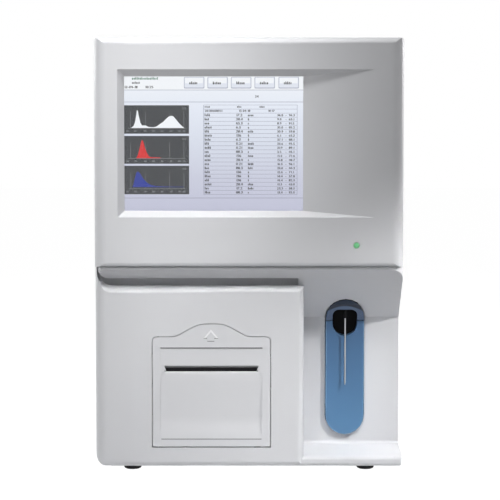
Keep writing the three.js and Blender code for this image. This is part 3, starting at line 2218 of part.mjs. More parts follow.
// The main board on four stand-offs, with its largest components.
function mainBoard() {
  const face = backFace + boardStandoff;
  let board = block(boardLeft, boardRight, face, face + boardSheet, boardBottom, boardTop);
  for (const x of [boardLeft + boardInset, boardRight - boardInset]) {
    for (const z of [boardBottom + boardInset, boardTop - boardInset]) {
      board = board.add(rodY(x, z, standoffRadius, backFace, face + boardSheet / 2, postSides));
    }
  }
  const tall = boardTop - boardBottom;
  for (const [left, low, width, height, thickness] of boardPartShares) {
    board = board.add(
      block(
        boardLeft + left * boardWidth,
        boardLeft + (left + width) * boardWidth,
        face + boardSheet / 2,
        face + boardSheet + thickness * boardPartHeight,
        boardBottom + low * tall,
        boardBottom + (low + height) * tall,
      ),
    );
  }
  return board;
}

function powerSupply() {
  const body = block(
    supplyLeft,
    supplyRight,
    supplyFront,
    supplyBack,
    insideFloor,
    insideFloor + supplyHeight,
  );
  const terminals = block(
    supplyLeft + terminalInset,
    supplyLeft + terminalInset + terminalWidth,
    supplyFront - terminalReach,
    supplyFront + overrun,
    insideFloor,
    insideFloor + terminalHeight,
  );
  return body.add(terminals);
}

// Rear side

const rearSeat = rearFace + touchGap;

// A rounded rectangle about a centre, by its half sizes.
function centred(x, z, halfX, halfZ, radius, steps) {
  return rectangle(x - halfX, x + halfX, z - halfZ, z + halfZ, radius, steps);
}

function rearPanel() {
  const front = rearFace - sheet - overrun;
  const back = rearFace + overrun;
  const switchLow = inletZ + rockerRise - switchBoxHalf;
  const switchHigh = inletZ + rockerRise + switchBoxHalf;
  const cuts = [
    circle(fanX, fanZ, fanBore, fanSides),
    centred(inletX, inletZ, socketHalf + touchGap, socketTall + touchGap, socketCorner),
    rectangle(
      inletX - socketHalf - touchGap,
      inletX + socketHalf + touchGap,
      switchLow - touchGap,
      switchHigh + touchGap,
    ),
    centred(portX, portZ, portHalf + touchGap, portTall + touchGap, portCorner),
    centred(
      reagentX,
      reagentZ,
      reagentHalf + touchGap,
      reagentTall + touchGap,
      socketCorner,
    ),
  ];
  for (let i = 0; i < rearVentRows; i += 1) {
    const z = rearVentBottom + i * rearVentPitch;
    cuts.push(rectangle(rearVentLeft, rearVentRight, z, z + ventTall, ventTall / 2, 1));
  }
  const plate = prismY(bodyOutline(sheet + touchGap), rearFace - sheet, rearFace);
  return cuts.reduce((panel, cut) => panel.subtract(prismY(cut, front, back)), plate);
}

// The mains inlet with its three pins, and the well in which the power rocker tips.
function powerInlet() {
  const outside = rearSeat + inletFlange;
  const switchZ = inletZ + rockerRise;
  const frame = block(
    inletX - socketHalf - inletRim,
    inletX + socketHalf + inletRim,
    rearSeat,
    outside,
    inletZ - socketTall - inletRim,
    switchZ + switchBoxHalf + inletRim,
  );
  const socket = prismY(
    centred(inletX, inletZ, socketHalf, socketTall, socketCorner),
    rearSeat - socketDepth,
    rearSeat + inletFlange / 2,
  );
  const switchBox = block(
    inletX - socketHalf,
    inletX + socketHalf,
    rearSeat - socketDepth,
    rearSeat + inletFlange / 2,
    switchZ - switchBoxHalf,
    switchZ + switchBoxHalf,
  );
  const mouth = prismY(
    centred(
      inletX,
      inletZ,
      socketHalf - socketWall,
      socketTall - socketWall,
      socketCorner,
    ),
    rearSeat - socketDepth + socketFloor,
    outside + overrun,
  );
  const well = block(
    inletX - wellHalf,
    inletX + wellHalf,
    rearSeat - wellDepth,
    outside + overrun,
    switchZ - wellTall,
    switchZ + wellTall,
  );
  let inlet = frame.add(socket).add(switchBox).subtract(mouth).subtract(well);
  for (const [shareX, shareZ] of pinShares) {
    const x = inletX + shareX * socketHalf;
    const z = inletZ + shareZ * socketTall;
    const pin = block(
      x - pinHalf,
      x + pinHalf,
      rearSeat - socketDepth + socketFloor - overrun,
      rearSeat - pinSetback,
      z - 2 * pinHalf,
      z + 2 * pinHalf,
    );
    inlet = inlet.add(pin);
  }
  return inlet.add(
    rodX(
      rockerDepth,
      switchZ,
      rockerPin,
      inletX - wellHalf - touchGap,
      inletX + wellHalf + touchGap,
      smallSides,
    ),
  );
}

const rockerDepth = rearSeat - rockerSetback;

// The rocker rests with its lower end out. Its round ends keep clear of the well as it tips.
function powerRocker() {
  const switchZ = inletZ + rockerRise;
  const polar = [[rockerValley, 0]];
  for (const side of [1, -1]) {
    for (let i = 0; i <= rockerSteps; i += 1) {
      const share = side === 1 ? i / rockerSteps : 1 - i / rockerSteps;
      const angle = rockerFaceAngle + share * (rockerBackAngle - rockerFaceAngle);
      polar.push([rockerReach, side * angle]);
    }
  }
  const points = polar.map(([radius, angle]) => [
    deep(rockerDepth) + radius * Math.cos(angle + rockerTilt),
    switchZ + radius * Math.sin(angle + rockerTilt),
  ]);
  const left = inletX - wellHalf + rockerSide;
  const right = inletX + wellHalf - rockerSide;
  const bore = rodX(
    rockerDepth,
    switchZ,
    boreFor(rockerPin),
    left - overrun,
    right + overrun,
    smallSides,
  );
  return prismX(points, left, right).subtract(bore);
}

const fanBack = rearFace - sheet - touchGap;
const fanFront = fanBack - fanThick;

function fanFrame() {
  const half = fanSize / 2;
  const strutHalf = half - fanStrut / 2;
  const body = prismY(centred(fanX, fanZ, half, half, fanCorner), fanFront, fanBack);
  const bore = rodY(
    fanX,
    fanZ,
    fanBore,
    fanFront - overrun,
    fanBack + overrun,
    fanSides,
  );
  const hub = rodY(fanX, fanZ, fanHub, fanFront, fanFront + fanStrut + seam);
  const across = block(
    fanX - strutHalf,
    fanX + strutHalf,
    fanFront,
    fanFront + fanStrut,
    fanZ - fanStrut,
    fanZ + fanStrut,
  );
  const upright = block(
    fanX - fanStrut,
    fanX + fanStrut,
    fanFront,
    fanFront + fanStrut,
    fanZ - strutHalf,
    fanZ + strutHalf,
  );
  const axle = rodY(
    fanX,
    fanZ,
    fanAxle,
    fanFront + fanStrut / 2,
    fanBack - fanStrut,
    smallSides,
  );
  return body.subtract(bore).add(across).add(upright).add(hub).add(axle);
}

// The fan's hub with twisted blades.
function fanRotor() {
  const bladeTip = fanBore - bladeClear;
  const root = fanHub - fanStrut;
  const front = fanFront + fanStrut + 2 * seam + touchGap;
  const back = fanBack - fanStrut / 2;
  let rotor = rodY(fanX, fanZ, fanHub, front, back);
  for (let i = 0; i < fanBlades; i += 1) {
    const blade = new THREE.BoxGeometry(bladeTip - root, bladeThick, bladeChord);
    blade.rotateX(-bladeTwist);
    blade.translate((bladeTip + root) / 2, 0, 0);
    blade.rotateX(quarterTurn);
    blade.rotateY((i * fullTurn) / fanBlades);
    blade.translate(fanX, deep((front + back) / 2), fanZ);
    rotor = rotor.add(solidOf(blade));
  }
  const bore = rodY(
    fanX,
    fanZ,
    boreFor(fanAxle),
    front - overrun,
    fanBack - fanStrut + touchGap,
    smallSides,
  );
  return rotor.subtract(bore);
}

// The wire guard over the fan: a cross with rings on it.
function fanGuard() {
  const reach = fanSize / 2 - fanCorner;
  let guard = block(
    fanX - reach,
    fanX + reach,
    rearSeat,
    rearSeat + guardWire,
    fanZ - guardWire,
    fanZ + guardWire,
  ).add(
    block(
      fanX - guardWire,
      fanX + guardWire,
      rearSeat,
      rearSeat + guardWire,
      fanZ - reach,
      fanZ + reach,
    ),
  );
  for (let i = 1; i <= guardRings; i += 1) {
    const radius = (i * reach) / guardRings - guardWire;
    const inner = [...circle(fanX, fanZ, radius - guardWire, footSides)].reverse();
    const ring = prismY(
      circle(fanX, fanZ, radius, footSides),
      rearSeat + guardWire / 2,
      rearSeat + 2 * guardWire,
      [inner],
    );
    guard = guard.add(ring);
  }
  return guard;
}

// Two rectangular data ports and one wide connector in one block.
function dataPortBlock() {
  const outside = rearSeat + portFlange;
  const frame = block(
    portX - portHalf - portRim,
    portX + portHalf + portRim,
    rearSeat,
    outside,
    portZ - portTall - portRim,
    portZ + portTall + portRim,
  );
  const body = prismY(
    centred(portX, portZ, portHalf, portTall, portCorner),
    rearSeat - portDepth,
    rearSeat + portFlange / 2,
  );
  let ports = frame.add(body);
  for (const share of dataPortShares) {
    const x = portX + share * portHalf;
    const mouth = block(
      x - dataPortHalf,
      x + dataPortHalf,
      rearSeat - dataPortDepth,
      outside + overrun,
      portZ - dataPortTall,
      portZ + dataPortTall,
    );
    ports = ports.subtract(mouth);
  }
  const wide = serialX + serialHalf;
  const serial = prismY(
    outline([
      [serialX - serialHalf + serialTaper, portZ - serialTall, serialTaper / 2],
      [wide - serialTaper, portZ - serialTall, serialTaper / 2],
      [wide, portZ + serialTall, serialTaper / 2],
      [serialX - serialHalf, portZ + serialTall, serialTaper / 2],
    ]),
    rearSeat - serialDepth,
    outside + overrun,
  );
  return ports.subtract(serial);
}

// One barbed port, turned about an axis along Y.
function barb(x) {
  const base = rearSeat + reagentFlange;
  const end = overallDepth;
  const run = end - base;
  const profile = [
    [0, rearSeat + reagentFlange / 3],
    [barbCollar, rearSeat + reagentFlange / 3],
    [barbCollar, base + overrun],
  ];
  for (const [radiusShare, runShare] of barbShares) {
    profile.push([barbRadius * radiusShare, base + run * runShare]);
  }
  profile.push([0, end]);
  return turnedY(profile, x, reagentZ, barbSides);
}

// The barbed reagent ports on one moulded plate.
function reagentPorts() {
  const plate = prismY(
    centred(
      reagentX,
      reagentZ,
      reagentHalf + reagentRim,
      reagentTall + reagentRim,
      reagentRim,
    ),
    rearSeat,
    rearSeat + reagentFlange,
  );
  const body = prismY(
    centred(reagentX, reagentZ, reagentHalf, reagentTall, socketCorner),
    rearSeat - reagentDepth,
    rearSeat + reagentFlange / 2,
  );
  let ports = plate.add(body);
  for (let i = 0; i < reagentCount; i += 1) {
    ports = ports.add(barb(reagentX + (i - (reagentCount - 1) / 2) * reagentPitch));
  }
  return ports;
}

addPiece("front_bezel", frontBezel(), shellColor);
addPiece("lower_front_cover", lowerFrontCover(), shellColor);
addPiece("top_cover", topCover(), sheetColor, 0.45);
addPiece("left_side_panel", sidePanel(-1), sheetColor, 0.45);
addPiece("right_side_panel", sidePanel(1), sheetColor, 0.45);
addPiece("rear_panel", rearPanel(), sheetColor, 0.45);
addPiece("base_plate", basePlate(), zincColor, 0.4, 0.8);
addPiece("mid_plate", midPlate(), zincColor, 0.4, 0.8);
addPiece("foot_front_left", foot(-footX, footFrontDepth), rubberColor, 0.8);
addPiece("foot_front_right", foot(footX, footFrontDepth), rubberColor, 0.8);
addPiece("foot_rear_left", foot(-footX, footRearDepth), rubberColor, 0.8);
addPiece("foot_rear_right", foot(footX, footRearDepth), rubberColor, 0.8);
addPiece("touch_glass", touchGlass(), glassColor, 0.1);
addPiece("lcd_module", lcdModule(), zincColor, 0.4, 0.6);
addPiece("display_bracket", displayBracket(), zincColor, 0.4, 0.8);
addPiece("status_led", statusLed(), ledColor, 0.2);
addPiece("probe_hood", probeHood(), blueColor);
addPiece("start_key", startKey(), blueColor);
addPiece("key_switch", keySwitch(), blackColor);
addPiece("probe_needle", probeNeedle(), steelColor, 0.25, 1);
addPiece("wipe_block", wipeBlock(), blackColor);
addPiece("probe_carriage", probeCarriage(), acetalColor);
addPiece("guide_rail", guideRail(), steelColor, 0.25, 1);
addPiece("lift_bracket", liftBracket(), zincColor, 0.4, 0.8);
addPiece("drive_pulley", pulley(drivePulleyZ), steelColor, 0.3, 0.9);
addPiece("idler_pulley", pulley(idlerPulleyZ), steelColor, 0.3, 0.9);
addPiece("drive_belt", driveBelt(), rubberColor, 0.8);
addPiece("lift_motor", liftMotor(), blackColor, 0.4, 0.5);
addPiece("printer_door", printerDoor(), shellColor);
addPiece("printer_frame", printerFrame(), blackColor);
addPiece("door_hinge_rod", doorHingeRod(), steelColor, 0.3, 1);
addPiece("paper_roll", paperRoll(), paperColor, 0.9);
addPiece("platen_roller", platenRoller(), rubberColor, 0.8);
addPiece("platen_gear", platenGear(), acetalColor);
addPiece("printer_idler_gear", printerIdlerGear(), acetalColor);
addPiece("printer_pinion", printerPinion(), brassColor, 0.3, 1);
addPiece("printer_motor", printerMotor(), steelColor, 0.35, 0.9);
addPiece("print_head", printHead(), zincColor, 0.4, 0.8);
addPiece("syringe_bracket", syringeBracket(), zincColor, 0.4, 0.8);
addPiece("syringe_barrel", syringeBarrel(), clearColor, 0.05);
addPiece("syringe_plunger", syringePlunger(), acetalColor);
addPiece("lead_screw", leadScrew(), steelColor, 0.3, 1);
addPiece("syringe_motor", syringeMotor(), blackColor, 0.4, 0.5);
addPiece("wbc_bath", bath(leftBathX), clearColor, 0.05);
addPiece("rbc_bath", bath(rightBathX), clearColor, 0.05);
addPiece("valve_bank", valveBank(), blackColor);
addPiece("vacuum_pump", vacuumPump(), blackColor, 0.4, 0.5);
addPiece("main_board", mainBoard(), boardColor);
addPiece("power_supply", powerSupply(), zincColor, 0.4, 0.8);
addPiece("power_inlet", powerInlet(), blackColor);
addPiece("power_rocker", powerRocker(), blackColor);
addPiece("fan_frame", fanFrame(), blackColor);
addPiece("fan_rotor", fanRotor(), blackColor);
addPiece("fan_guard", fanGuard(), steelColor, 0.25, 1);
addPiece("data_port_block", dataPortBlock(), blackColor);
addPiece("reagent_ports", reagentPorts(), acetalColor);

export default part;
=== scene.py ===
import math
import random

import bmesh
import bpy
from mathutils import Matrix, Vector


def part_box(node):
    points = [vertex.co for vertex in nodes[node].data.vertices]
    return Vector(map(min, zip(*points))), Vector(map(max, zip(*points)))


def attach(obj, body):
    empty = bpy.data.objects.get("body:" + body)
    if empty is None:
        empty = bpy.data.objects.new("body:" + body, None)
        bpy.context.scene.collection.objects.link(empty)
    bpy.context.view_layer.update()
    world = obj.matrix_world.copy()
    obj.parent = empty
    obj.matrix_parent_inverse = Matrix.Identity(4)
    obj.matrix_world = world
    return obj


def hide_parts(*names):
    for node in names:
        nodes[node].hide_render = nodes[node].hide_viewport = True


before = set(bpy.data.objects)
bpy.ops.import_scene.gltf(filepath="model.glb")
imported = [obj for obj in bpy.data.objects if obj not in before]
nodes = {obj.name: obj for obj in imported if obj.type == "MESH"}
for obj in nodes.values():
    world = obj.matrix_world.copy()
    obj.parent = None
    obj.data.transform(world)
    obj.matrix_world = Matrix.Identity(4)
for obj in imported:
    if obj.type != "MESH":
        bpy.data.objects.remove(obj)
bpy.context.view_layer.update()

# Blender works in metres; outlines, tables and printed figures are in millimetres
MM = 0.001

# The middle of the start key and of the probe's hood
KEY_X = 115.5


# Material nodes
EVEN = (1, 1, 1)


class Tree:
    """The node tree of a material or of the world, with short calls for its nodes."""

    def __init__(self, owner):
        owner.use_nodes = True
        self.tree = owner.node_tree
        self.tree.nodes.clear()

    def link(self, a, b):
        self.tree.links.new(a, b)

    def node(self, kind, values=None, operation=None):
        """A new node, the values of its sockets by name or number, and its operation."""
        made = self.tree.nodes.new(kind)
        if operation:
            made.operation = operation
        for socket, value in (values or {}).items():
            made.inputs[socket].default_value = value
        return made

    def seen_rays(self):
        """1 for camera, glossy and transmission rays, and 0 for the rest."""
        path = self.node("ShaderNodeLightPath")
        seen = path.outputs["Is Camera Ray"]
        for kind in ("Is Glossy Ray", "Is Transmission Ray"):
            either = self.node("ShaderNodeMath", operation="MAXIMUM")
            self.link(seen, either.inputs[0])
            self.link(path.outputs[kind], either.inputs[1])
            seen = either.outputs[0]
        return seen

    def blend(self, share, first, second, output):
        """Ends the tree in a mix of two shaders, by the share of the second."""
        mix = self.node("ShaderNodeMixShader")
        self.link(share, mix.inputs[0])
        self.link(first.outputs[0], mix.inputs[1])
        self.link(second.outputs[0], mix.inputs[2])
        self.link(mix.outputs[0], self.node(output).inputs["Surface"])


class Shader(Tree):
    """A material with one Principled shader; most calls return it, for the next call."""

    def __init__(self, name, colour, roughness, metallic=0.0):
        self.material = bpy.data.materials.new(name)
        super().__init__(self.material)
        self.colour = colour
        self.shader = self.node("ShaderNodeBsdfPrincipled")
        self.set("Base Color", (*colour, 1)).set("Roughness", roughness).set("Metallic", metallic)
        output = self.node("ShaderNodeOutputMaterial")
        self.link(self.shader.outputs["BSDF"], output.inputs["Surface"])
        self.place = self.node("ShaderNodeTexCoord").outputs["Object"]
        self.normal = None

    def set(self, socket, value):
        self.shader.inputs[socket].default_value = value
        return self

    def dull(self, specular):
        """Weaker highlights."""
        return self.set("Specular IOR Level", specular)

    def shine(self, colour, strength):
        """A light of its own."""
        return self.set("Emission Color", (*colour, 1)).set("Emission Strength", strength)

    def noise(self, size, detail, stretch):
        """Noise whose grains are about size metres across."""
        mapping = self.node("ShaderNodeMapping", {"Scale": stretch})
        self.link(self.place, mapping.inputs["Vector"])
        made = self.node("ShaderNodeTexNoise", {"Scale": 1 / size, "Detail": detail})
        self.link(mapping.outputs["Vector"], made.inputs["Vector"])
        return made.outputs["Fac"]

    def remap(self, value, low, high, start=0.3, end=0.7):
        """The value, moved from start..end, where most noise lies, to low..high."""
        made = self.node("ShaderNodeMapRange", {
            "From Min": start, "From Max": end, "To Min": low, "To Max": high})
        self.link(value, made.inputs["Value"])
        return made.outputs["Result"]

    def colour_mix(self, colour, mask):
        """A mix that shows the colour where the mask is 1, and its socket A where it is 0."""
        mix = self.node("ShaderNodeMix")
        mix.data_type = "RGBA"
        mix.inputs["B"].default_value = (*colour, 1)
        self.link(mask, mix.inputs["Factor"])
        return mix

    def mottle(self, size, share, stretch=EVEN):
        """Base colour that drifts by share either way."""
        dark = [c * (1 - share) for c in self.colour]
        light = [min(1, c * (1 + share)) for c in self.colour]
        mix = self.colour_mix(light, self.remap(self.noise(size, detail=3, stretch=stretch), 0, 1))
        mix.inputs["A"].default_value = (*dark, 1)
        self.link(mix.outputs["Result"], self.shader.inputs["Base Color"])
        return self

    def outside(self, mask, colour):
        """Puts another colour where the mask is 1, over the colour so far."""
        base = self.shader.inputs["Base Color"]
        mix = self.colour_mix(colour, mask)
        self.link(base.links[0].from_socket, mix.inputs["A"])
        self.link(mix.outputs["Result"], base)
        return self

    def sheen_drift(self, size, low, high, stretch=EVEN):
        """Roughness that drifts between low and high."""
        drift = self.remap(self.noise(size, detail=4, stretch=stretch), low, high)
        self.link(drift, self.shader.inputs["Roughness"])
        return self

    def grain(self, size, depth, stretch=EVEN, detail=2):
        """Relief of grains of that size and depth, over the relief so far."""
        bump = self.node("ShaderNodeBump", {"Strength": 1, "Distance": depth})
        self.link(self.noise(size, detail, stretch), bump.inputs["Height"])
        if self.normal is not None:
            self.link(self.normal, bump.inputs["Normal"])
        self.normal = bump.outputs["Normal"]
        self.link(self.normal, self.shader.inputs["Normal"])
        return self

    def ring_mask(self, x, z, radius, soft):
        """0 inside and 1 outside a circle about a line along Y, in millimetres."""
        flat = self.node("ShaderNodeVectorMath", {1: (1, 0, 1), 2: (-x * MM, 0, -z * MM)}, "MULTIPLY_ADD")
        self.link(self.place, flat.inputs[0])
        reach = self.node("ShaderNodeVectorMath", operation="LENGTH")
        self.link(flat.outputs["Vector"], reach.inputs[0])
        return self.remap(reach.outputs["Value"], 0, 1, (radius - soft) * MM, (radius + soft) * MM)

    def height_mask(self, low, high):
        """0 at the low and 1 at the high level, in millimetres."""
        split = self.node("ShaderNodeSeparateXYZ")
        self.link(self.place, split.inputs[0])
        return self.remap(split.outputs["Z"], 0, 1, low * MM, high * MM)


# Kinds of material
def plastic(name, colour, roughness=0.42, grain=0.00045, depth=0.000012, drift=0.012):
    """Moulded plastic: a fine grain over slow waves."""
    made = Shader(name, colour, roughness)
    made.mottle(size=0.09, share=drift)
    made.sheen_drift(size=0.02, low=roughness - 0.05, high=roughness + 0.05)
    return made.grain(size=grain, depth=depth).grain(size=0.03, depth=0.00004)


def powder(name, colour):
    """Powder paint on sheet: a coarse grain with a fine one on it."""
    made = Shader(name, colour, 0.5)
    made.mottle(size=0.12, share=0.012).sheen_drift(size=0.015, low=0.44, high=0.56)
    return made.grain(size=0.0009, depth=0.00003, detail=3).grain(size=0.0002, depth=0.000006)


def zinc(name, colour):
    """Plated sheet with its small spangles."""
    made = Shader(name, colour, 0.38, 1.0)
    made.mottle(size=0.004, share=0.06).sheen_drift(size=0.006, low=0.28, high=0.46)
    return made.grain(size=0.0005, depth=0.000004)


def brushed(name, colour, roughness, stretch):
    """Ground or turned metal, its marks drawn out along the axis of least stretch."""
    made = Shader(name, colour, roughness, 1.0)
    made.mottle(size=0.0012, share=0.05, stretch=stretch)
    made.sheen_drift(size=0.0008, low=roughness - 0.08, high=roughness + 0.1, stretch=stretch)
    return made.grain(size=0.0006, depth=0.000003, stretch=stretch)


def rubber(name, colour):
    made = Shader(name, colour, 0.72).dull(0.2)
    made.mottle(size=0.006, share=0.2).sheen_drift(size=0.004, low=0.62, high=0.82)
    return made.grain(size=0.0006, depth=0.00002, detail=4)


def clear(name, colour, roughness):
    """Glass or clear plastic."""
    made = Shader(name, colour, roughness).set("Transmission Weight", 1.0).set("IOR", 1.47)
    return made.sheen_drift(size=0.02, low=roughness, high=roughness + 0.03)


def painted_motor(name, colour):
    made = Shader(name, colour, 0.45)
    made.mottle(size=0.01, share=0.15).sheen_drift(size=0.01, low=0.36, high=0.56)
    return made.grain(size=0.0007, depth=0.00002, detail=3)


materials = {
    "shell_plastic": plastic("moulded_shell", (0.66, 0.665, 0.685), 0.4),
    "painted_sheet": powder("powder_coat", (0.64, 0.645, 0.66)),
    "zinc_sheet": zinc("zinc_plate", (0.62, 0.63, 0.65)),
    "foot_rubber": rubber("black_rubber", (0.012, 0.012, 0.013)),
    "screen_glass": clear("touch_glass_clear", (0.96, 0.98, 1.0), 0.03),
    "display_panel": plastic("display_frame", (0.75, 0.77, 0.85), 0.3),
    "led_green": plastic("green_lens", (0.10, 0.45, 0.16), 0.25),
    "key_blue": plastic("satin_blue", (0.072, 0.178, 0.325), 0.36, drift=0.03),
    "black_plastic": plastic("satin_black", (0.012, 0.012, 0.014), 0.4, depth=0.00002, drift=0.2),
    "polished_steel": brushed("ground_steel", (0.72, 0.73, 0.75), 0.2, (1, 1, 0.04)),
    "acetal_white": plastic("turned_acetal", (0.80, 0.79, 0.75), 0.35),
    "belt_rubber": rubber("belt_black", (0.02, 0.02, 0.02)),
    "motor_black": painted_motor("motor_paint", (0.02, 0.02, 0.022)),
    "motor_steel": brushed("motor_can", (0.60, 0.60, 0.62), 0.3, (0.05, 1, 1)),
    "thermal_paper": plastic("paper_white", (0.88, 0.88, 0.86), 0.75, 0.0003, 0.00002),
    "pinion_brass": brushed("cut_brass", (0.70, 0.52, 0.22), 0.3, (0.1, 1, 1)),
    "clear_plastic": clear("clear_mould", (0.93, 0.97, 0.98), 0.08),
    "board_green": plastic("board_mask", (0.02, 0.13, 0.05), 0.3),
    "aluminium": brushed("machined_aluminium", (0.75, 0.76, 0.78), 0.34, (1, 0.1, 1)),
}

# The key's blue is darkened towards its top, painted shade from the ceiling over it; a crescent of painted
# shade lies on the hood, and the lens has a pale rim
key_blue = materials["key_blue"]
# Painted shade: the key's blue darkens from its foot to its top
key_blue.outside(key_blue.height_mask(low=50, high=175), (0.045, 0.112, 0.225))
hood_blue = plastic("hood_blue", (0.08, 0.128, 0.225), drift=0.03)
# Painted shade: a dark crescent along the hood's top, where the niche over it is in shade
hood_blue.outside(hood_blue.ring_mask(x=KEY_X, z=157, radius=37.5, soft=0.5), (0.010, 0.019, 0.040))
lens_green = plastic("rimmed_lens", (0.15, 0.52, 0.23), 0.25).shine((0.12, 0.5, 0.18), 0.22)
lens_green.outside(lens_green.ring_mask(x=125, z=271, radius=2.9, soft=0.25), (0.42, 0.62, 0.46))

# Finishes of single nodes; every other node takes its slot's
FINISHES = {
    "probe_hood": hood_blue,
    "status_led": lens_green,
    # The wipe block is black plastic made darker still, partly painted shade for the hole it sits in
    "wipe_block": plastic("deep_black", (0.004, 0.004, 0.005), 0.55).dull(0.12),
    "probe_needle": brushed("needle_steel", (0.42, 0.43, 0.45), 0.34, (1, 1, 0.04)),
}


# Smooth shading with crisp edges
BEVEL_ANGLE, SMOOTH_ANGLE = 28, 32
WELD_REACH = 0.002 * MM
USUAL_BEVEL = 0.3
BEVELS = {
    "front_bezel": 0.35,
    "lower_front_cover": 0.25,
    "top_cover": 0.5,
    "touch_glass": 0.1,
    "start_key": 1.2,
    "probe_hood": 0.8,
}


def edge_normals(limit):
    """Node group that smooths every face and leaves edges sharper than limit degrees sharp."""
    group = bpy.data.node_groups.new(f"smooth_under_{limit}", "GeometryNodeTree")
    group.is_modifier = True
    group.interface.new_socket("Geometry", in_out="INPUT", socket_type="NodeSocketGeometry")
    group.interface.new_socket("Geometry", in_out="OUTPUT", socket_type="NodeSocketGeometry")
    start = group.nodes.new("NodeGroupInput")
    end = group.nodes.new("NodeGroupOutput")
    faces = group.nodes.new("GeometryNodeSetShadeSmooth")
    edges = group.nodes.new("GeometryNodeSetShadeSmooth")
    edges.domain = "EDGE"
    angle = group.nodes.new("GeometryNodeInputMeshEdgeAngle")
    test = group.nodes.new("FunctionNodeCompare")
    test.operation = "LESS_THAN"
    test.inputs["B"].default_value = math.radians(limit)
    group.links.new(start.outputs[0], faces.inputs["Geometry"])
    group.links.new(faces.outputs[0], edges.inputs["Geometry"])
    group.links.new(angle.outputs["Unsigned Angle"], test.inputs["A"])
    group.links.new(test.outputs["Result"], edges.inputs["Shade Smooth"])
    group.links.new(edges.outputs[0], end.inputs[0])
    return group


SMOOTH_GROUP = edge_normals(SMOOTH_ANGLE)


def refine(piece, bevel, flat_angle=0.4):
    """Welds, clears flat faces of their triangles, rounds the edges and shades the piece."""
    weld = piece.modifiers.new("weld", "WELD")
    weld.merge_threshold = WELD_REACH
    flat = piece.modifiers.new("flat", "DECIMATE")
    flat.decimate_type = "DISSOLVE"
    flat.angle_limit = math.radians(flat_angle)
    if bevel:
        edges = piece.modifiers.new("edges", "BEVEL")
        edges.width = bevel * MM
        edges.segments = 2
        edges.limit_method = "ANGLE"
        edges.angle_limit = math.radians(BEVEL_ANGLE)
    shade = piece.modifiers.new("shade", "NODES")
    shade.node_group = SMOOTH_GROUP
    weight = piece.modifiers.new("weight", "WEIGHTED_NORMAL")
    weight.keep_sharp = True
    weight.weight = 60


for name, node in nodes.items():
    slot_name = node.data.materials[0].name.split(".")[0]
    node.data.materials[0] = FINISHES.get(name, materials[slot_name]).material
    refine(node, BEVELS.get(name, USUAL_BEVEL))


# Outlines in X and Z
def around(x, z, half, tall):
    """The four bounds of a rectangle, from its centre and its half sizes."""
    return x - half, x + half, z - tall, z + tall


def rectangle(x0, x1, z0, z1):
    return [(x0, z0), (x1, z0), (x1, z1), (x0, z1)]


def arc(x, z, radius, start, end, steps):
    """Points from one angle to another, in degrees."""
    turns = [math.radians(start + (end - start) * step / steps) for step in range(steps + 1)]
    return [(x + radius * math.cos(turn), z + radius * math.sin(turn)) for turn in turns]


def circle(x, z, radius, steps=20):
    return arc(x, z, radius, 0, 360, steps)[:-1]


def rounded(x0, x1, z0, z1, radius, steps=4):
    """A rectangle with round corners, each of that many steps."""
    corners = ((x1 - radius, z0 + radius), (x1 - radius, z1 - radius),
               (x0 + radius, z1 - radius), (x0 + radius, z0 + radius))
    points = []
    for quarter, (x, z) in enumerate(corners, -1):
        points += arc(x, z, radius, 90 * quarter, 90 * (quarter + 1), steps)
    return points


# Pieces built here
def add_object(name, mesh, body, slot_name, shaders, *replaced):
    """A finished piece: its mesh, its body and the CAD nodes that it stands for; its slot_name is not used.
    """
    piece = bpy.data.objects.new(name, mesh)
    bpy.context.collection.objects.link(piece)
    for shader in shaders:
        mesh.materials.append(shader.material)
    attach(piece, body)
    if replaced:
        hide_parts(*replaced)
    return piece


def glyph_shapes(glyphs, size=1.4, gap=0.14):
    """Flat outlines of the built-in font's figures at a size that makes them one unit tall."""
    shapes = {}
    for glyph in glyphs:
        curve = bpy.data.curves.new("figure", "FONT")
        curve.body = glyph
        curve.size = size
        curve.resolution_u = 2
        holder = bpy.data.objects.new("figure", curve)
        bpy.context.collection.objects.link(holder)
        bpy.context.view_layer.update()
        mesh = holder.to_mesh()
        points = [(v.co.x, v.co.y) for v in mesh.vertices]
        faces = [tuple(f.vertices) for f in mesh.polygons]
        shapes[glyph] = (points, faces, max(x for x, _ in points) + gap)
        holder.to_mesh_clear()
        bpy.data.objects.remove(holder)
        bpy.data.curves.remove(curve)
    return shapes


GLYPHS = glyph_shapes("0123456789.:-")


class Print:
    """Flat figures in named inks on a plane that faces the front (1) or the rear (-1)."""

    LAYER = 0.012 * MM

    def __init__(self, name, y, inks, facing=1):
        self.name = name
        self.y = y * MM
        self.inks = inks
        self.facing = facing
        self.points = []
        self.faces = []
        self.face_inks = []
        self.used = []

    def add(self, points, faces, ink, layer):
        """Faces over points in X and Z, on the layer of that number."""
        if ink not in self.used:
            self.used.append(ink)
        start = len(self.points)
        y = self.y - self.facing * layer * self.LAYER
        self.points += [(x * MM, y, z * MM) for x, z in points]
        self.faces += [tuple(start + corner for corner in face) for face in faces]
        self.face_inks += [self.used.index(ink)] * len(faces)

    def polygon(self, outline, ink, layer):
        self.add(outline, [range(len(outline))], ink, layer)

    def box(self, x0, x1, z0, z1, ink, layer):
        self.polygon(rectangle(x0, x1, z0, z1), ink, layer)

    def figures(self, text, x, z, height, ink, layer, bold=0.0):
        """Plain figures whose foot stands at x, z; a second set, bold to the side, thickens them."""
        for glyph in text:
            points, faces, width = GLYPHS[glyph]
            for copy, shift in enumerate([0.0, bold] if bold else [0.0]):
                placed = [(x + self.facing * (shift + u * height), z + v * height) for u, v in points]
                self.add(placed, faces, ink, layer + copy)
            x += self.facing * width * height

    def make(self, body, slot_name):
        mesh = bpy.data.meshes.new(self.name)
        mesh.from_pydata(self.points, [], self.faces)
        add_object(self.name, mesh, body, slot_name, [self.inks[ink] for ink in self.used])
        mesh.polygons.foreach_set("material_index", self.face_inks)


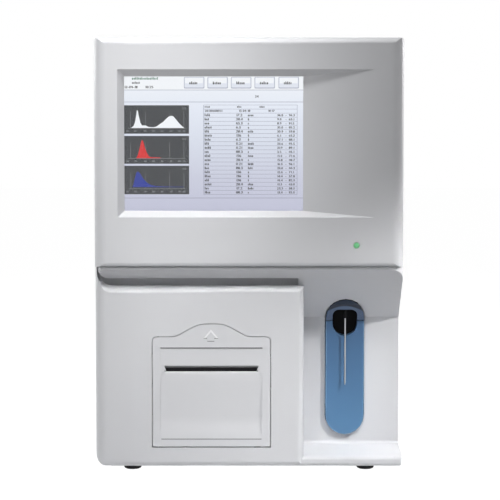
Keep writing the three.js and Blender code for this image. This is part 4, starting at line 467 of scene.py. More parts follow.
# The display's picture: its colours in levels of 0 to 255, and its layout
DISPLAY_INKS = {
    "ink": (6, 6, 16),
    "rule": (128, 130, 156),
    "white": (252, 253, 255),
    "dark": (50, 52, 56),
    "faint": (128, 130, 133),
    "red": (218, 0, 0),
    "blue": (0, 44, 150),
    "green": (30, 110, 80),
    "key": (232, 235, 244),
    "key_edge": (150, 152, 176),
}
GROUND_FADE = ((196, 196, 216), (207, 208, 224), (222, 226, 238), (236, 240, 250), (250, 252, 255))
GROUND_STRIPS = 40
DISPLAY_GLOW = 0.94
SCREEN_LEFT, SCREEN_RIGHT = -147.5, 65.5
SCREEN_FOOT, SCREEN_HEAD = 308.5, 469.5
HEADER_FOOT, BAND_FOOT, FOOTER_HEAD = 451.4, 437.5, 325.8
BAND_LINE, ROW_LINE, UPRIGHT_LINE = 0.25, 0.17, 0.2

# Words: left, foot, letters, height and ink; figures: text, left, foot, height and bold
HEADER_WORDS = ((-136, 463.4, 18, 2.9, "green"), (-136, 458.6, 6, 2.6, "ink"))
HEADER_FIGURES = (
    ("12-04-18", -145.2, 453.4, 2.9, 0.7), ("10:25", -121.0, 453.4, 2.9, 0.7), ("24", 6.8, 442.6, 2.8, 0.4),
)
BUTTON_LEFTS = (-75.5, -48.2, -20.9, 6.5, 34.4)
BUTTON_WIDTH, BUTTON_FOOT, BUTTON_HEAD = 23.6, 453.7, 466.4
BUTTON_WORD_X, BUTTON_WORD_Z, BUTTON_LETTERS, BUTTON_LETTER_HEIGHT = 6.2, 4.3, 5, 3.2

# Insets of left, right, foot and head, the corners' radius and the ink
BUTTON_LAYERS = (
    (0.0, 0.0, -0.5, 0.0, 1.2, "key_edge"),
    (0.5, 0.6, 0.4, 0.4, 1.0, "key"),
    (1.2, 1.4, 5.5, 1.0, 0.8, "white"),
)

# Curves, grid, axis and the places of the scale are in shares of a plot's width and height
WHITE_CURVE = (
    (0.105, 0.2), (0.145, 0.27), (0.168, 0.4), (0.185, 0.62), (0.197, 0.82), (0.211, 0.82), (0.227, 0.62),
    (0.25, 0.4), (0.276, 0.29), (0.33, 0.29), (0.38, 0.235), (0.46, 0.225), (0.51, 0.27), (0.55, 0.34),
    (0.6, 0.41), (0.645, 0.52), (0.69, 0.61), (0.73, 0.63), (0.76, 0.61), (0.8, 0.5), (0.85, 0.36),
    (0.9, 0.25), (0.93, 0.2),
)
RED_CURVE = (
    (0.185, 0.2), (0.205, 0.28), (0.225, 0.43), (0.248, 0.65), (0.265, 0.82), (0.281, 0.86), (0.297, 0.77),
    (0.318, 0.59), (0.345, 0.41), (0.38, 0.27), (0.405, 0.24), (0.56, 0.225), (0.56, 0.2),
)
BLUE_CURVE = (
    (0.125, 0.25), (0.145, 0.37), (0.165, 0.58), (0.185, 0.75), (0.205, 0.8), (0.233, 0.76), (0.26, 0.67),
    (0.293, 0.54), (0.343, 0.42), (0.4, 0.33), (0.48, 0.285), (0.64, 0.27), (0.92, 0.262), (0.92, 0.25),
)

# Foot, head, curve and ink
PLOT_LEFT, PLOT_RIGHT = -145.4, -69.8
PLOTS = (
    (400.7, 433.7, WHITE_CURVE, "white"),
    (365.7, 398.1, RED_CURVE, "red"),
    (330.2, 363.4, BLUE_CURVE, "blue"),
)
GRID, GRID_FOOT, GRID_HEAD = (0.1, 0.33, 0.7, 0.92), 0.2, 0.78
AXIS = (0.06, 0.95, 0.185, 0.2)
SCALE, SCALE_FOOT = (0.03, 0.15, 0.3, 0.43, 0.56, 0.7, 0.83, 0.9), 0.06
SCALE_HEIGHT, PEAK_HEIGHT, PEAK_INSET_X, PEAK_INSET_Z = 2.1, 2.4, 8.0, 4.8

TABLE_LEFT, TABLE_RIGHT, TABLE_HEAD, TABLE_PITCH, TABLE_ROWS = -52.8, 56.1, 434.0, 4.73, 22
TITLES, TITLE_FOOT, TITLE_HEIGHT = ((-51.6, 5), (-13.8, 4), (12.4, 4)), 430.9, 2.3
ENTRIES = (("20130608051", -51.6), ("12-04-18", -12.0), ("10:17", 22.0))
ENTRY_FOOT, ENTRY_HEIGHT = 426.1, 2.5
FIRST_ROW, ROW_RISE = 2, 1.1
NAME_LETTERS, UNIT_LETTERS = (3, 3, 4, 5), (1, 1, 4)
LOW_LIMITS, HIGH_LIMITS = (1, 39), (40, 99)
NAME_X, VALUE_X, UNIT_X, LOW_X, DASH_X, HIGH_X = -51.6, -15.4, -1.2, 32.6, 42.2, 46.2
NAME_HEIGHT, UNIT_HEIGHT, LIMIT_HEIGHT = 2.9, 2.7, 2.6
VALUE_BOLD, LIMIT_BOLD, ENTRY_BOLD, PLOT_BOLD = 0.8, 0.6, 0.5, 0.3
VALUES = ("7.6", "28.4", "6.3", "65.3", "4.48", "136", "0.21", "17.2", "88.3")


def linear(levels):
    """A colour given in display levels of 0 to 255, as the shader wants it."""
    return tuple((level / 255) ** 2.2 for level in levels)


def glow(name, colour):
    """A lit colour of the display."""
    return Shader(name, (0.01, 0.01, 0.01), 0.6).dull(0.0).shine(colour, DISPLAY_GLOW)


def display_ground():
    """The lit ground of the display: bluish white, greyer towards the foot."""
    made = glow("display_ground", (1, 1, 1))
    ramp = made.node("ShaderNodeValToRGB")
    stops = ramp.color_ramp.elements
    foot, *between, head = [(*linear(levels), 1) for levels in GROUND_FADE]
    stops[0].color, stops[1].color = foot, head
    for step, colour in enumerate(between, 1):
        stops.new(step / (len(between) + 1)).color = colour
    made.link(made.height_mask(SCREEN_FOOT, SCREEN_HEAD), ramp.inputs["Fac"])
    made.link(ramp.outputs["Color"], made.shader.inputs["Emission Color"])
    return made


class Display(Print):
    """What the display shows: a header with keys, three curves and a table of plain figures."""

    GAP = 0.02
    TEXT_LAYER = 3

    # Shares of a letter's height: its choices of height, width and crossbar, then its strokes
    TALL, WIDE, BARS = (0.7, 0.7, 1.0), (0.34, 0.46), (0, 0.3, 0.55)
    STROKE, SHORT, SPACE = 0.32, 0.66, 0.2

    def __init__(self):
        inks = {name: glow(f"display_{name}", linear(levels)) for name, levels in DISPLAY_INKS.items()}
        inks["ground"] = display_ground()
        lcd_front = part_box("lcd_module")[0].y
        super().__init__("display_picture", lcd_front / MM - self.GAP, inks)
        self.dice = random.Random(4)

    def across(self, x0, x1, level, half):
        self.box(x0, x1, level - half, level + half, "rule", 2)

    def upright(self, x, z0, z1, ink, layer):
        self.box(x - UPRIGHT_LINE, x + UPRIGHT_LINE, z0, z1, ink, layer)

    def word(self, x, z, letters, height, ink="ink", layer=TEXT_LAYER):
        """Short strokes in a row, where the real display has a word."""
        stroke = self.STROKE * height
        for _ in range(letters):
            tall = height * self.dice.choice(self.TALL)
            wide = height * self.dice.choice(self.WIDE)
            self.box(x, x + stroke, z, z + tall, ink, layer)
            self.box(x + wide - stroke, x + wide, z, z + self.SHORT * height, ink, layer)
            bar = z + self.dice.choice(self.BARS) * height
            self.box(x + stroke, x + wide - stroke, bar, bar + stroke, ink, layer)
            x += wide + self.SPACE * height

    def text(self, text, x, z, height, bold):
        self.figures(text, x, z, height, "ink", self.TEXT_LAYER, bold)

    def ground(self):
        tall = (SCREEN_HEAD - SCREEN_FOOT) / GROUND_STRIPS
        for strip in range(GROUND_STRIPS):
            foot = SCREEN_FOOT + strip * tall
            self.box(SCREEN_LEFT, SCREEN_RIGHT, foot, foot + tall, "ground", 0)
        self.box(SCREEN_LEFT, SCREEN_RIGHT, HEADER_FOOT, SCREEN_HEAD, "white", 1)
        for level in (HEADER_FOOT, BAND_FOOT, FOOTER_HEAD):
            self.across(SCREEN_LEFT, SCREEN_RIGHT, level, BAND_LINE)

    def header(self):
        for left in BUTTON_LEFTS:
            right = left + BUTTON_WIDTH
            for layer, (x0, x1, z0, z1, radius, ink) in enumerate(BUTTON_LAYERS, 2):
                bounds = (left + x0, right - x1, BUTTON_FOOT + z0, BUTTON_HEAD - z1)
                self.polygon(rounded(*bounds, radius), ink, layer)
            self.word(left + BUTTON_WORD_X, BUTTON_FOOT + BUTTON_WORD_Z, BUTTON_LETTERS,
                      BUTTON_LETTER_HEIGHT, layer=5)
        for word in HEADER_WORDS:
            self.word(*word)
        for figures in HEADER_FIGURES:
            self.text(*figures)

    def plot(self, low, high, curve, ink):
        """A dark field with its grid, its axis, a filled curve and the figures of its scale."""
        width, height = PLOT_RIGHT - PLOT_LEFT, high - low

        def place(u, v):
            return PLOT_LEFT + u * width, low + v * height

        def number(end, x, z, tall):
            self.figures(str(self.dice.randint(1, 9)) + end, x, z, tall, "faint", 4, PLOT_BOLD)

        self.box(PLOT_LEFT, PLOT_RIGHT, low, high, "dark", 2)
        for share in GRID:
            x, foot = place(share, GRID_FOOT)
            self.upright(x, foot, place(share, GRID_HEAD)[1], "faint", 3)
        left, right, foot, head = AXIS
        self.polygon([place(u, v) for u, v in rectangle(left, right, foot, head)], "faint", 3)
        base = curve[0][1]
        for (u0, v0), (u1, v1) in zip(curve, curve[1:]):
            self.polygon([place(u0, base), place(u1, base), place(u1, v1), place(u0, v0)], ink, 4)
        for share in SCALE:
            number("0", *place(share, SCALE_FOOT), SCALE_HEIGHT)
        number(".0", PLOT_RIGHT - PEAK_INSET_X, high - PEAK_INSET_Z, PEAK_HEIGHT)

    def table(self):
        for row in range(TABLE_ROWS + 1):
            self.across(TABLE_LEFT, TABLE_RIGHT, TABLE_HEAD - row * TABLE_PITCH, ROW_LINE)
        for x in (TABLE_LEFT, TABLE_RIGHT):
            self.upright(x, TABLE_HEAD - TABLE_ROWS * TABLE_PITCH, TABLE_HEAD, "rule", 2)
        for x, letters in TITLES:
            self.word(x, TITLE_FOOT, letters, TITLE_HEIGHT)
        for figures, x in ENTRIES:
            self.text(figures, x, ENTRY_FOOT, ENTRY_HEIGHT, ENTRY_BOLD)
        for row in range(FIRST_ROW, TABLE_ROWS):
            foot = TABLE_HEAD - (row + 1) * TABLE_PITCH + ROW_RISE
            self.word(NAME_X, foot, self.dice.choice(NAME_LETTERS), NAME_HEIGHT)
            self.text(self.dice.choice(VALUES), VALUE_X, foot, NAME_HEIGHT, VALUE_BOLD)
            self.word(UNIT_X, foot, self.dice.choice(UNIT_LETTERS), UNIT_HEIGHT)
            self.limit(self.decimal(*LOW_LIMITS), LOW_X, foot)
            self.limit("-", DASH_X, foot)
            self.limit(self.decimal(*HIGH_LIMITS), HIGH_X, foot)

    def limit(self, text, x, foot):
        self.text(text, x, foot, LIMIT_HEIGHT, LIMIT_BOLD)

    def decimal(self, low, high):
        """A number with one decimal, its whole part between low and high."""
        return f"{self.dice.randint(low, high)}.{self.dice.randint(0, 9)}"


page = Display()
page.ground()
page.header()
for plot in PLOTS:
    page.plot(*plot)
page.table()
page.make("chassis", "display_panel")


class Solid:
    """A piece made of closed solids."""

    HOOP_SIDES, WIRE_SIDES = 56, 10

    # Shares of a screw's radius and height, and corners where it isn't round
    SCREW = ((1, -0.2, 0), (1, 0.4, 0), (0.9, 0.8, 0), (0.66, 1, 0), (0.56, 1, 6), (0.5, 0.4, 6))

    def __init__(self, name):
        self.name = name
        self.mesh = bmesh.new()

    def bridge(self, rings, material=0, closed=False):
        """Joins equal rings of points into a solid: capped, or with its last ring at the first."""
        rows = [[self.mesh.verts.new([v * MM for v in point]) for point in ring] for ring in rings]
        faces = [] if closed else [self.mesh.faces.new(rows[0]), self.mesh.faces.new(rows[-1])]
        for low, high in zip(rows, rows[1:] + rows[:1] if closed else rows[1:]):
            for i in range(len(low)):
                faces.append(self.mesh.faces.new((low[i - 1], low[i], high[i], high[i - 1])))
        for face in faces:
            face.material_index = material
        bmesh.ops.recalc_face_normals(self.mesh, faces=faces)

    def prism(self, outline, back, front, chamfer=0.0, material=0):
        """An outline in X and Z between two depths, its front edge cut back by the chamfer."""
        xs, zs = zip(*outline)
        cx, cz = (min(xs) + max(xs)) / 2, (min(zs) + max(zs)) / 2
        shrink = 1 - chamfer / min(max(xs) - cx, max(zs) - cz)
        rings = [[(x, back, z) for x, z in outline]]
        if chamfer:
            shoulder = front + math.copysign(chamfer, back - front)
            rings.append([(x, shoulder, z) for x, z in outline])
        rings.append([(cx + (x - cx) * shrink, front, cz + (z - cz) * shrink) for x, z in outline])
        self.bridge(rings, material)

    def box(self, x0, x1, y0, y1, z0, z1, chamfer=0.0, material=0):
        self.prism(rectangle(x0, x1, z0, z1), y1, y0, chamfer, material)

    def turned(self, centre, profile, along="y", sides=24, material=0):
        """A profile of radius, place and corner count turned about an axis through the centre."""
        rings = []
        for radius, place, corners in profile:
            ring = []
            for i in range(sides):
                turn = 2 * math.pi * (i + 0.5) / sides
                reach = radius
                if corners:
                    wedge = 2 * math.pi / corners
                    reach = radius * math.cos(wedge / 2) / math.cos((turn % wedge) - wedge / 2)
                u, v = reach * math.cos(turn), reach * math.sin(turn)
                spot = {"y": (u, place, v), "x": (place, u, v), "z": (u, v, place)}[along]
                ring.append([c + d for c, d in zip(centre, spot)])
            rings.append(ring)
        self.bridge(rings, material)

    def tube(self, outer, inner, back, front, material=0):
        """A wall between two outlines in X and Z."""
        edges = ((outer, back), (outer, front), (inner, front), (inner, back))
        self.bridge([[(x, y, z) for x, z in outline] for outline, y in edges], material, closed=True)

    def hoop(self, x, y, z, radius, wire):
        """A ring of round wire about a line along Y."""
        section = arc(0, 0, wire, 0, 360, self.WIRE_SIDES)[:-1]
        rings = []
        for i in range(self.HOOP_SIDES):
            turn = 2 * math.pi * i / self.HOOP_SIDES
            dx, dz = math.cos(turn), math.sin(turn)
            rings.append([(x + (radius + out) * dx, y + rise, z + (radius + out) * dz)
                          for out, rise in section])
        self.bridge(rings, closed=True)

    def screw(self, place, radius, height, along="y"):
        """A pan head with a six-sided socket; its height's sign is the way it faces."""
        profile = [(radius * share, height * rise, corners) for share, rise, corners in self.SCREW]
        self.turned(place, profile, along)

    def make(self, body, slot_name, shaders, bevel=0.0, replaced=()):
        mesh = bpy.data.meshes.new(self.name)
        self.mesh.to_mesh(mesh)
        self.mesh.free()
        refine(add_object(self.name, mesh, body, slot_name, shaders, *replaced), bevel, flat_angle=0.1)


SHELL_PLASTIC = materials["shell_plastic"]
SATIN_BLACK = materials["black_plastic"]
ZINC = materials["zinc_sheet"]
STEEL = materials["polished_steel"]
BRASS = materials["pinion_brass"]


# The printer door: arrow, seams, paper guide, and the ends and brow of its slot, with painted highlight and
# shade on the arrow, the seams, the guide and the brow
DOOR_FRONT, DOOR_X = -207.0, -44.0
ARROW = (
    (-44.5, 171.4), (-36.6, 162.4), (-40.8, 162.4), (-40.8, 158.6),
    (-48.6, 158.6), (-48.6, 162.4), (-52.6, 162.4),
)
# The chevron is white, a painted highlight along the arrow's upper edges
CHEVRON = ((-53.3, 161.9), (-44.5, 172.2), (-35.7, 161.9), (-38.2, 161.9), (-44.5, 169.2), (-50.8, 161.9))
ARROW_ROOT, ARROW_RISE, ARROW_CHAMFER, CHEVRON_RISE = 0.4, 0.35, 0.2, 0.6

# Left, right and foot of each painted shadow line under the arrow
ARROW_SHADOW_LINES = ((-53.0, -49.0, 161.2), (-40.6, -36.0, 161.2), (-48.8, -40.6, 157.9))
LINE_RISE, LINE_HEIGHT = 0.3, 0.75

# Half width, depth behind the door's front, foot and head of each seam's painted shadow line
SEAM_SHADOWS = ((59.8, 0.35, 149.75, 150.85), (58.8, -0.03, 42.4, 43.2))
SEAM_SHADOW_ROOT = 1.4

# X, Y and Z bounds of the guide's two ledges and two cheeks
GUIDE = (
    (-98.6, 10.6, -203.6, -202.9, 121.6, 126.2),
    (-98.6, 10.6, -202.4, -201.7, 125.4, 128.6),
    (-98.95, -98.3, -205.6, -201.7, 123.45, 128.3),
    (10.3, 10.95, -205.6, -201.7, 123.45, 128.3),
)
SLOT_LEFT, SLOT_RIGHT, SLOT_FOOT, SLOT_HEAD = -99.2, 11.2, 123.5, 128.3
SLOT_END_FOOT, SLOT_END_HEAD, SLOT_END_BACK, SLOT_END_FRONT = 2.0, 0.3, 2.6, 0.9

# The brow's section in Y and Z, and how far it stays inside the slot's ends
BROW = ((-205.7, 128.3), (-204.3, 127.0), (-203.9, 127.0), (-203.9, 128.3))
BROW_INSET = 0.5


def door_arrow():
    arrow = Solid("door_arrow")
    root = DOOR_FRONT + ARROW_ROOT
    arrow.prism(ARROW, root, DOOR_FRONT - ARROW_RISE, ARROW_CHAMFER)
    # Painted highlight: a white chevron along the arrow's upper edges
    arrow.prism(CHEVRON, root, DOOR_FRONT - CHEVRON_RISE, material=1)
    # Painted shadow: dark lines under the arrow's lower edges
    for left, right, foot in ARROW_SHADOW_LINES:
        arrow.box(left, right, DOOR_FRONT - LINE_RISE, root, foot, foot + LINE_HEIGHT, material=2)
    arrow_painted_highlight = plastic("arrow_painted_highlight", (0.86, 0.865, 0.875), 0.4)
    arrow_painted_shadow = plastic("arrow_painted_shadow", (0.24, 0.245, 0.25), 0.5)
    arrow.make("printer_door", "shell_plastic", [SHELL_PLASTIC, arrow_painted_highlight, arrow_painted_shadow])


def door_seams():
    # Painted shadow: near-black strips at the panel's top step and foot, where those edges are in shade
    seams = Solid("door_panel_seam_shadows")
    for half, depth, foot, head in SEAM_SHADOWS:
        seams.box(DOOR_X - half, DOOR_X + half, DOOR_FRONT + depth, DOOR_FRONT + SEAM_SHADOW_ROOT, foot, head)
    seams.make("printer_door", "shell_plastic", [plastic("seam_painted_shadow", (0.09, 0.092, 0.1), 0.6)])


def door_slot():
    """The black guide behind the paper slot, near-black as painted shade inside the slot, and the slot's
    slanted ends and its brow in painted shade.
    """
    guide = Solid("door_paper_guide_slot_shade")
    for bounds in GUIDE:
        guide.box(*bounds)
    # Partly painted shade: the guide is near-black with weak highlights, for the shade inside the slot
    guide_black_slot_shade = plastic("guide_black_slot_shade", (0.006, 0.006, 0.007), 0.6).dull(0.15)
    guide.make("printer_door", "black_plastic", [guide_black_slot_shade])
    ends = Solid("door_slot_ends")
    for x, side in ((SLOT_LEFT, 1), (SLOT_RIGHT, -1)):
        outline = [(x, SLOT_FOOT), (x + side * SLOT_END_FOOT, SLOT_FOOT),
                   (x + side * SLOT_END_HEAD, SLOT_HEAD), (x, SLOT_HEAD)]
        ends.prism(outline, DOOR_FRONT + SLOT_END_BACK, DOOR_FRONT + SLOT_END_FRONT)
    ends.make("printer_door", "shell_plastic", [SHELL_PLASTIC])
    brow = Solid("door_slot_brow")
    brow.bridge([[(x, y, z) for y, z in BROW] for x in (SLOT_LEFT + BROW_INSET, SLOT_RIGHT - BROW_INSET)])
    # Painted shade: the brow is dark grey for the shade under the slot's top edge
    brow.make("printer_door", "shell_plastic", [plastic("brow_painted_shade", (0.2, 0.202, 0.21), 0.5)])


# The start key's rim, a bead in paler blue as painted highlight, and the strip under the upper front's lip,
# in painted shade
KEY_HALF, KEY_FOOT, KEY_TOP, KEY_FACE = 23.2, 38.0, 175.4, -142.5

# The rim's section: inset from the key's outline and depth from its face
RIM = ((0.15, 0.5), (0.3, -0.1), (0.7, -0.2), (1.3, 0.02))

# X, Y and Z bounds
LIP_STRIP = (-173, 173, -212.25, -211.8, 242.9, 245.2)


def key_outline(inset):
    """The key's lower outline from its top left to its top right, drawn in by the inset."""
    reach = KEY_HALF - inset
    foot = arc(KEY_X, KEY_FOOT + KEY_HALF, reach, 180, 360, steps=28)
    return [(KEY_X - reach, KEY_TOP), *foot, (KEY_X + reach, KEY_TOP)]


def key_rim():
    rim = Solid("key_rim")
    lines = [[(x, KEY_FACE + depth, z) for x, z in key_outline(inset)] for inset, depth in RIM]
    rim.bridge(list(zip(*lines)))
    # Painted highlight: the bead is paler blue than the key, for the light along its edge
    rim.make("key", "key_blue", [plastic("rim_painted_highlight", (0.15, 0.27, 0.42), 0.3)])


def lip_strip():
    # Painted shade: a mid-grey strip over the lower cover's upright edge under the lip
    strip = Solid("lip_strip")
    strip.box(*LIP_STRIP, chamfer=0.1)
    strip.make("chassis", "shell_plastic", [plastic("lip_painted_shade", (0.33, 0.335, 0.345), 0.55)])


# The rear and the base: screws, the fan's guard, port shells and pins, marks and port collars
REAR = 200.0
REAR_SCREWS = [(x, REAR, z) for x in (-171, 171) for z in (30, 145, 260, 375, 490)]
REAR_SCREWS += [(x, REAR, z) for x in (-85, 0, 85) for z in (21, 501)]
BASE_SCREWS = [(x, y, 10.2) for x in (-110, 0, 110) for y in (-110, 40, 165)]
INLET_X, INLET_Z, INLET_HOLES, INLET_FACE = 118.0, 74.0, 17.0, 202.3
INLET_SCREWS = [(INLET_X + side * INLET_HOLES, INLET_FACE, INLET_Z) for side in (-1, 1)]

FAN_X, FAN_Z, FAN_HOLES = -92.0, 372.0, 35.75
LEG_INNER, LEG_HALF, LEG_BACK, LEG_FRONT, LEG_CHAMFER = 25.2, 0.9, 0.1, 1.9, 0.3
GUARD_RADII, WIRE, HOOP_DEPTH = (9.75, 21.75, 33.75), 0.75, 2.35
CROSS_REACH, CROSS_DEPTH, CROSS_TIP = 36.0, 1.1, 0.3

PORT_Z, PORT_FACE, SERIAL_X = 300.0, 201.5, 106.0
SERIAL_SHELL = ((-9.5, -3.7), (9.5, -3.7), (11.5, 3.7), (-11.5, 3.7))
SHELL_INNER_X, SHELL_INNER_Z = 0.94, 0.84
SHELL_BACK, SHELL_RISE = 193.0, 1.0

# Height and number of pins in each row; then the sections of a pin and a post
PIN_ROWS, PIN_PITCH = ((1.4, 5), (-1.4, 4)), 3.2
PIN = ((0.55, 193.0, 0), (0.55, 199.4, 0), (0.25, 200.0, 0))
POST = ((2.9, -0.1, 6), (2.9, 1.3, 6), (2.5, 1.6, 6), (1.5, 1.6, 0), (1.5, 0.6, 0))
POST_REACH = 15.5

SOCKETS_X, SOCKET_BACK, SOCKET_RISE = (60.12, 78.12), 192.0, 0.15
SOCKET_OUTER, SOCKET_INNER = (3.15, 6.55), (2.7, 6.1)

# X bounds from the socket's middle, Y bounds and half height
TONGUE = (-1.9, -0.2, 192.0, 200.4, 5.3)
CONTACT = (-0.25, -0.05, 193.0, 199.8, 0.5)
CONTACTS_Z = (-3.6, -1.2, 1.2, 3.6)

MARK_ROOT, MARK_RISE = 0.1, 0.06
ON_MARK = (102.2, 103.2, 107.0, 112.0)
OFF_X, OFF_Z, OFF_OUTER, OFF_INNER = 102.7, 99.5, 2.5, 1.6

REAGENT_X, REAGENT_Z, REAGENT_PITCH, REAGENT_FACE = -80.0, 150.0, 25.0, 203.3
PORTS_X = [REAGENT_X + (i - 1.5) * REAGENT_PITCH for i in range(4)]
PLATE_HALF, PLATE_TALL, PLATE_CORNER, PLATE_BACK, PLATE_CHAMFER = 56, 18, 4, 0.3, 0.5
CORE_HALF, CORE_TALL, CORE_BACK, CORE_FRONT = 52, 14, 190.4, 0.4

# Radius and run of a barb's section, from its root over the barbs and back down its bore
BARB = (
    (6.0, -1.0), (6.0, 0.3), (4.2, 1.2), (2.6, 2.6), (3.6, 4.4), (2.6, 8.2), (3.6, 8.9), (2.2, 11.7),
    (1.4, 11.7), (1.3, 11.2), (1.3, 3.0),
)
COLLAR_OUTER, COLLAR_INNER, COLLAR_ROOT, COLLAR_RISE = 8.0, 6.05, 0.2, 1.0
COLLARS = {
    "collar_blue": (0.06, 0.16, 0.42),
    "collar_green": (0.05, 0.25, 0.10),
    "collar_amber": (0.55, 0.28, 0.03),
    "collar_grey": (0.16, 0.16, 0.17),
}
NUMBER_SHIFT, NUMBER_Z, NUMBER_HEIGHT, NUMBER_RISE = 1.4, 134.6, 4.2, 0.02

STUD = (150, REAR, 40)
STUD_DISC = ((5.2, 0.0, 0), (5.2, 1.0, 0))
STUD_NUT = ((4.4, 0.9, 6), (4.4, 3.6, 6), (3.9, 4.0, 6))
STUD_BOLT = ((2.0, 3.8, 0), (2.0, 7.4, 0), (1.5, 8.0, 0))


def screw_set(name, places, radius, height, along="y"):
    screws = Solid(name)
    for place in places:
        screws.screw(place, radius, height, along)
    screws.make("chassis", "zinc_sheet", [ZINC])


def fan_screws():
    """A black screw at each of the fan's corners, and the guard's leg from it to the outer wire."""
    screws = Solid("fan_screws")
    for sx in (-1, 1):
        for sz in (-1, 1):
            x, z = FAN_X + sx * FAN_HOLES, FAN_Z + sz * FAN_HOLES
            screws.screw((x, REAR, z), radius=3.6, height=2.0)
            end_x, end_z = FAN_X + sx * LEG_INNER, FAN_Z + sz * LEG_INNER
            dx, dz = sx * LEG_HALF / math.sqrt(2), -sz * LEG_HALF / math.sqrt(2)
            leg = [(x + dx, z + dz), (x - dx, z - dz), (end_x - dx, end_z - dz), (end_x + dx, end_z + dz)]
            screws.prism(leg, REAR + LEG_BACK, REAR + LEG_FRONT, LEG_CHAMFER, 1)
    screws.make("chassis", "polished_steel", [SATIN_BLACK, STEEL])


def fan_guard():
    """Three round wires on a cross of two, in place of the CAD's guard."""
    guard = Solid("fan_guard_wires")
    for radius in GUARD_RADII:
        guard.hoop(FAN_X, REAR + HOOP_DEPTH, FAN_Z, radius, WIRE)
    tip, end = 0.6 * WIRE, CROSS_REACH - CROSS_TIP
    cross = ((tip, -CROSS_REACH, 0), (WIRE, -end, 0), (WIRE, end, 0), (tip, CROSS_REACH, 0))
    for along in ("x", "z"):
        guard.turned((FAN_X, REAR + CROSS_DEPTH, FAN_Z), cross, along, 12)
    guard.make("chassis", "polished_steel", [STEEL], replaced=("fan_guard",))


def serial_connector():
    serial = Solid("serial_connector")
    outer = [(SERIAL_X + x, PORT_Z + z) for x, z in SERIAL_SHELL]
    inner = [(SERIAL_X + x * SHELL_INNER_X, PORT_Z + z * SHELL_INNER_Z) for x, z in SERIAL_SHELL]
    serial.tube(outer, inner, SHELL_BACK, PORT_FACE + SHELL_RISE)
    for row, count in PIN_ROWS:
        for i in range(count):
            x = SERIAL_X + (i - (count - 1) / 2) * PIN_PITCH
            serial.turned((x, 0, PORT_Z + row), PIN, sides=12, material=1)
    for x in (SERIAL_X - POST_REACH, SERIAL_X + POST_REACH):
        serial.turned((x, PORT_FACE, PORT_Z), POST)
    serial.make("chassis", "zinc_sheet", [ZINC, BRASS])


def data_sockets():
    """Two flat sockets, each a shell with a black tongue and four contacts."""
    sockets = Solid("data_sockets")
    for x in SOCKETS_X:
        outer, inner = (rectangle(*around(x, PORT_Z, *size)) for size in (SOCKET_OUTER, SOCKET_INNER))
        sockets.tube(outer, inner, SOCKET_BACK, PORT_FACE + SOCKET_RISE)
        for (x0, x1, y0, y1, tall), middles, material in ((TONGUE, (0,), 1), (CONTACT, CONTACTS_Z, 2)):
            for z in middles:
                bounds = (x + x0, x + x1, y0, y1, PORT_Z + z - tall, PORT_Z + z + tall)
                sockets.box(*bounds, material=material)
    sockets.make("chassis", "zinc_sheet", [ZINC, SATIN_BLACK, BRASS])


def switch_marks():
    """The bar and the ring beside the rocker."""
    marks = Solid("switch_marks")
    root, face = INLET_FACE - MARK_ROOT, INLET_FACE + MARK_RISE
    x0, x1, z0, z1 = ON_MARK
    marks.box(x0, x1, root, face, z0, z1)
    marks.tube(circle(OFF_X, OFF_Z, OFF_OUTER), circle(OFF_X, OFF_Z, OFF_INNER), root, face)
    marks.make("chassis", "black_plastic", [plastic("mark_white", (0.75, 0.75, 0.74), 0.5)])


def reagent_ports():
    """The bored barbs on their plate, in place of the CAD's, with coloured collars and numbers."""
    plate = Solid("reagent_plate")
    outline = rounded(*around(REAGENT_X, REAGENT_Z, PLATE_HALF, PLATE_TALL), PLATE_CORNER, steps=6)
    plate.prism(outline, REAR + PLATE_BACK, REAGENT_FACE, PLATE_CHAMFER)
    x0, x1, z0, z1 = around(REAGENT_X, REAGENT_Z, CORE_HALF, CORE_TALL)
    plate.box(x0, x1, CORE_BACK, REAR + CORE_FRONT, z0, z1)
    for x in PORTS_X:
        plate.turned((x, REAGENT_FACE, REAGENT_Z), [(radius, run, 0) for radius, run in BARB], sides=32)
    plate.make("chassis", "acetal_white", [materials["acetal_white"]], 0.15, ("reagent_ports",))
    collars = Solid("port_collars")
    for index, x in enumerate(PORTS_X):
        outer, inner = (circle(x, REAGENT_Z, radius, 32) for radius in (COLLAR_OUTER, COLLAR_INNER))
        collars.tube(outer, inner, REAGENT_FACE - COLLAR_ROOT, REAGENT_FACE + COLLAR_RISE, index)
    colours = [plastic(name, colour, 0.4) for name, colour in COLLARS.items()]
    collars.make("chassis", "acetal_white", colours, 0.2)
    inks = {"black": plastic("number_ink", (0.03, 0.03, 0.035), 0.5)}
    numbers = Print("port_numbers", REAGENT_FACE + NUMBER_RISE, inks, -1)
    for number, x in enumerate(PORTS_X, 1):
        numbers.figures(str(number), x + NUMBER_SHIFT, NUMBER_Z, NUMBER_HEIGHT, "black", 1)
    numbers.make("chassis", "black_plastic")


def earth_stud():
    stud = Solid("earth_stud")
    stud.turned(STUD, STUD_DISC, sides=28)
    stud.turned(STUD, STUD_NUT, material=1)
    stud.turned(STUD, STUD_BOLT, material=1)
    stud.make("chassis", "zinc_sheet", [ZINC, BRASS], 0.15)


door_arrow()
door_seams()
door_slot()
key_rim()
lip_strip()
screw_set("rear_screws", REAR_SCREWS, radius=3.3, height=1.8)
fan_screws()
fan_guard()
serial_connector()
data_sockets()
screw_set("inlet_screws", INLET_SCREWS, radius=1.9, height=0.6)
switch_marks()
reagent_ports()
earth_stud()
screw_set("base_screws", BASE_SCREWS, radius=3.2, height=-1.5, along="z")


# Floor, background, light and camera, in metres
FLOOR_HALF, FLOOR_LEVEL = 12, -0.0002
FLOOR_COLOUR, FLOOR_GLOW, FLOOR_GLOW_SHARE = (0.8, 0.8, 0.81, 1), 1.155, 0.86
AMBIENT_COLOUR, AMBIENT = (0.96, 0.98, 1, 1), 0.01

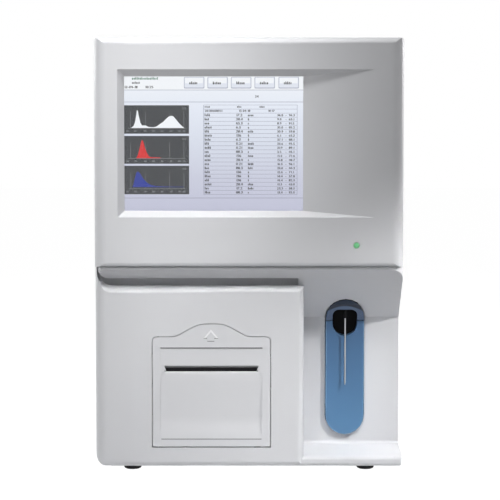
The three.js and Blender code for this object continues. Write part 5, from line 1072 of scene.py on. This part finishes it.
# Name, place, target, size, power in watts and, where it is narrow, the cone in degrees
LAMPS = (
    ("lamp_top", (0.0, -0.25, 1.5), (0, -0.1, 0.4), (1.0, 0.6), 3.8),
    ("lamp_top_near", (-0.12, -0.42, 0.95), (-0.1, -0.2, 0.5), (0.5, 0.08), 1.05, 120),
    ("lamp_right_side", (1.3, -0.15, 0.45), (0.18, -0.15, 0.25), (0.5, 0.9), 0.85),
    ("lamp_right_strip", (0.65, -0.4, 0.3), (0.18, -0.2, 0.3), (0.1, 0.6), 0.36),
    ("lamp_bezel", (-0.35, -1.17, 0.94), (-0.09, -0.2, 0.4), (0.2, 0.2), 0.212, 25),
    ("lamp_module", (-0.3, -1.1, 0.79), (-0.08, -0.2, 0.11), (0.2, 0.2), 0.085, 22),
    ("lamp_low", (0.0, -0.7, 0.85), (-0.02, -0.2, 0.05), (0.8, 0.08), 0.165, 22),
    ("lamp_recess", (0.62, -0.62, 0.69), (0.13, -0.15, 0.08), (0.06, 0.06), 0.125, 24),
    ("lamp_back_left", (-1.7, 1.1, 0.9), (-0.1, 0.1, 0.25), (0.6, 0.6), 22),
    ("lamp_back_right", (1.7, 1.1, 0.9), (0.1, 0.1, 0.25), (0.6, 0.6), 22),
)

# The camera stands 2.096 in front of the case and looks down by its pitch in degrees
CASE_FRONT = -0.215
CAMERA_PLACE = (0.0012, CASE_FRONT - 2.096, 0.3958)
CAMERA_PITCH, CAMERA_LENS, CAMERA_REACH = 3.55, 130.1, 50


def backdrop_material():
    """White to the camera and in reflections, with a faint shadow; a plain pale floor to the light."""
    made = bpy.data.materials.new("studio_floor")
    tree = Tree(made)
    share = tree.node("ShaderNodeMath", {1: FLOOR_GLOW_SHARE}, "MULTIPLY")
    tree.link(tree.seen_rays(), share.inputs[0])
    diffuse = tree.node("ShaderNodeBsdfDiffuse", {"Color": FLOOR_COLOUR})
    white = tree.node("ShaderNodeEmission", {"Strength": FLOOR_GLOW})
    tree.blend(share.outputs[0], diffuse, white, "ShaderNodeOutputMaterial")
    return made


def make_world():
    """A faint even light, and white to the camera and in reflections."""
    world = bpy.data.worlds.new("studio")
    bpy.context.scene.world = world
    tree = Tree(world)
    soft = tree.node("ShaderNodeBackground", {"Color": AMBIENT_COLOUR, "Strength": AMBIENT})
    white = tree.node("ShaderNodeBackground", {"Color": (1, 1, 1, 1)})
    tree.blend(tree.seen_rays(), soft, white, "ShaderNodeOutputWorld")


def add_lamp(name, place, target, size, power, cone=180):
    """A flat lamp that lights the target and that the camera doesn't see."""
    data = bpy.data.lights.new(name, "AREA")
    data.shape = "RECTANGLE"
    data.size, data.size_y = size
    data.energy = power
    data.spread = math.radians(cone)
    lamp = bpy.data.objects.new(name, data)
    bpy.context.collection.objects.link(lamp)
    lamp.location = place
    lamp.rotation_euler = (Vector(target) - Vector(place)).to_track_quat("-Z", "Y").to_euler()
    lamp.visible_camera = False


def add_floor():
    mesh = bpy.data.meshes.new("studio_floor")
    corners = rectangle(-FLOOR_HALF, FLOOR_HALF, -FLOOR_HALF, FLOOR_HALF)
    mesh.from_pydata([(x, y, 0) for x, y in corners], [], [(0, 1, 2, 3)])
    mesh.materials.append(backdrop_material())
    floor = bpy.data.objects.new("studio_floor", mesh)
    bpy.context.collection.objects.link(floor)
    floor.location.z = FLOOR_LEVEL


def add_camera():
    data = bpy.data.cameras.new("camera")
    data.lens = CAMERA_LENS
    data.clip_end = CAMERA_REACH
    camera = bpy.data.objects.new("camera", data)
    bpy.context.collection.objects.link(camera)
    camera.location = CAMERA_PLACE
    camera.rotation_euler = (math.radians(90 - CAMERA_PITCH), 0, 0)
    bpy.context.scene.camera = camera


make_world()
for lamp in LAMPS:
    add_lamp(*lamp)
add_floor()
add_camera()
bpy.context.scene.view_settings.view_transform = "Standard"
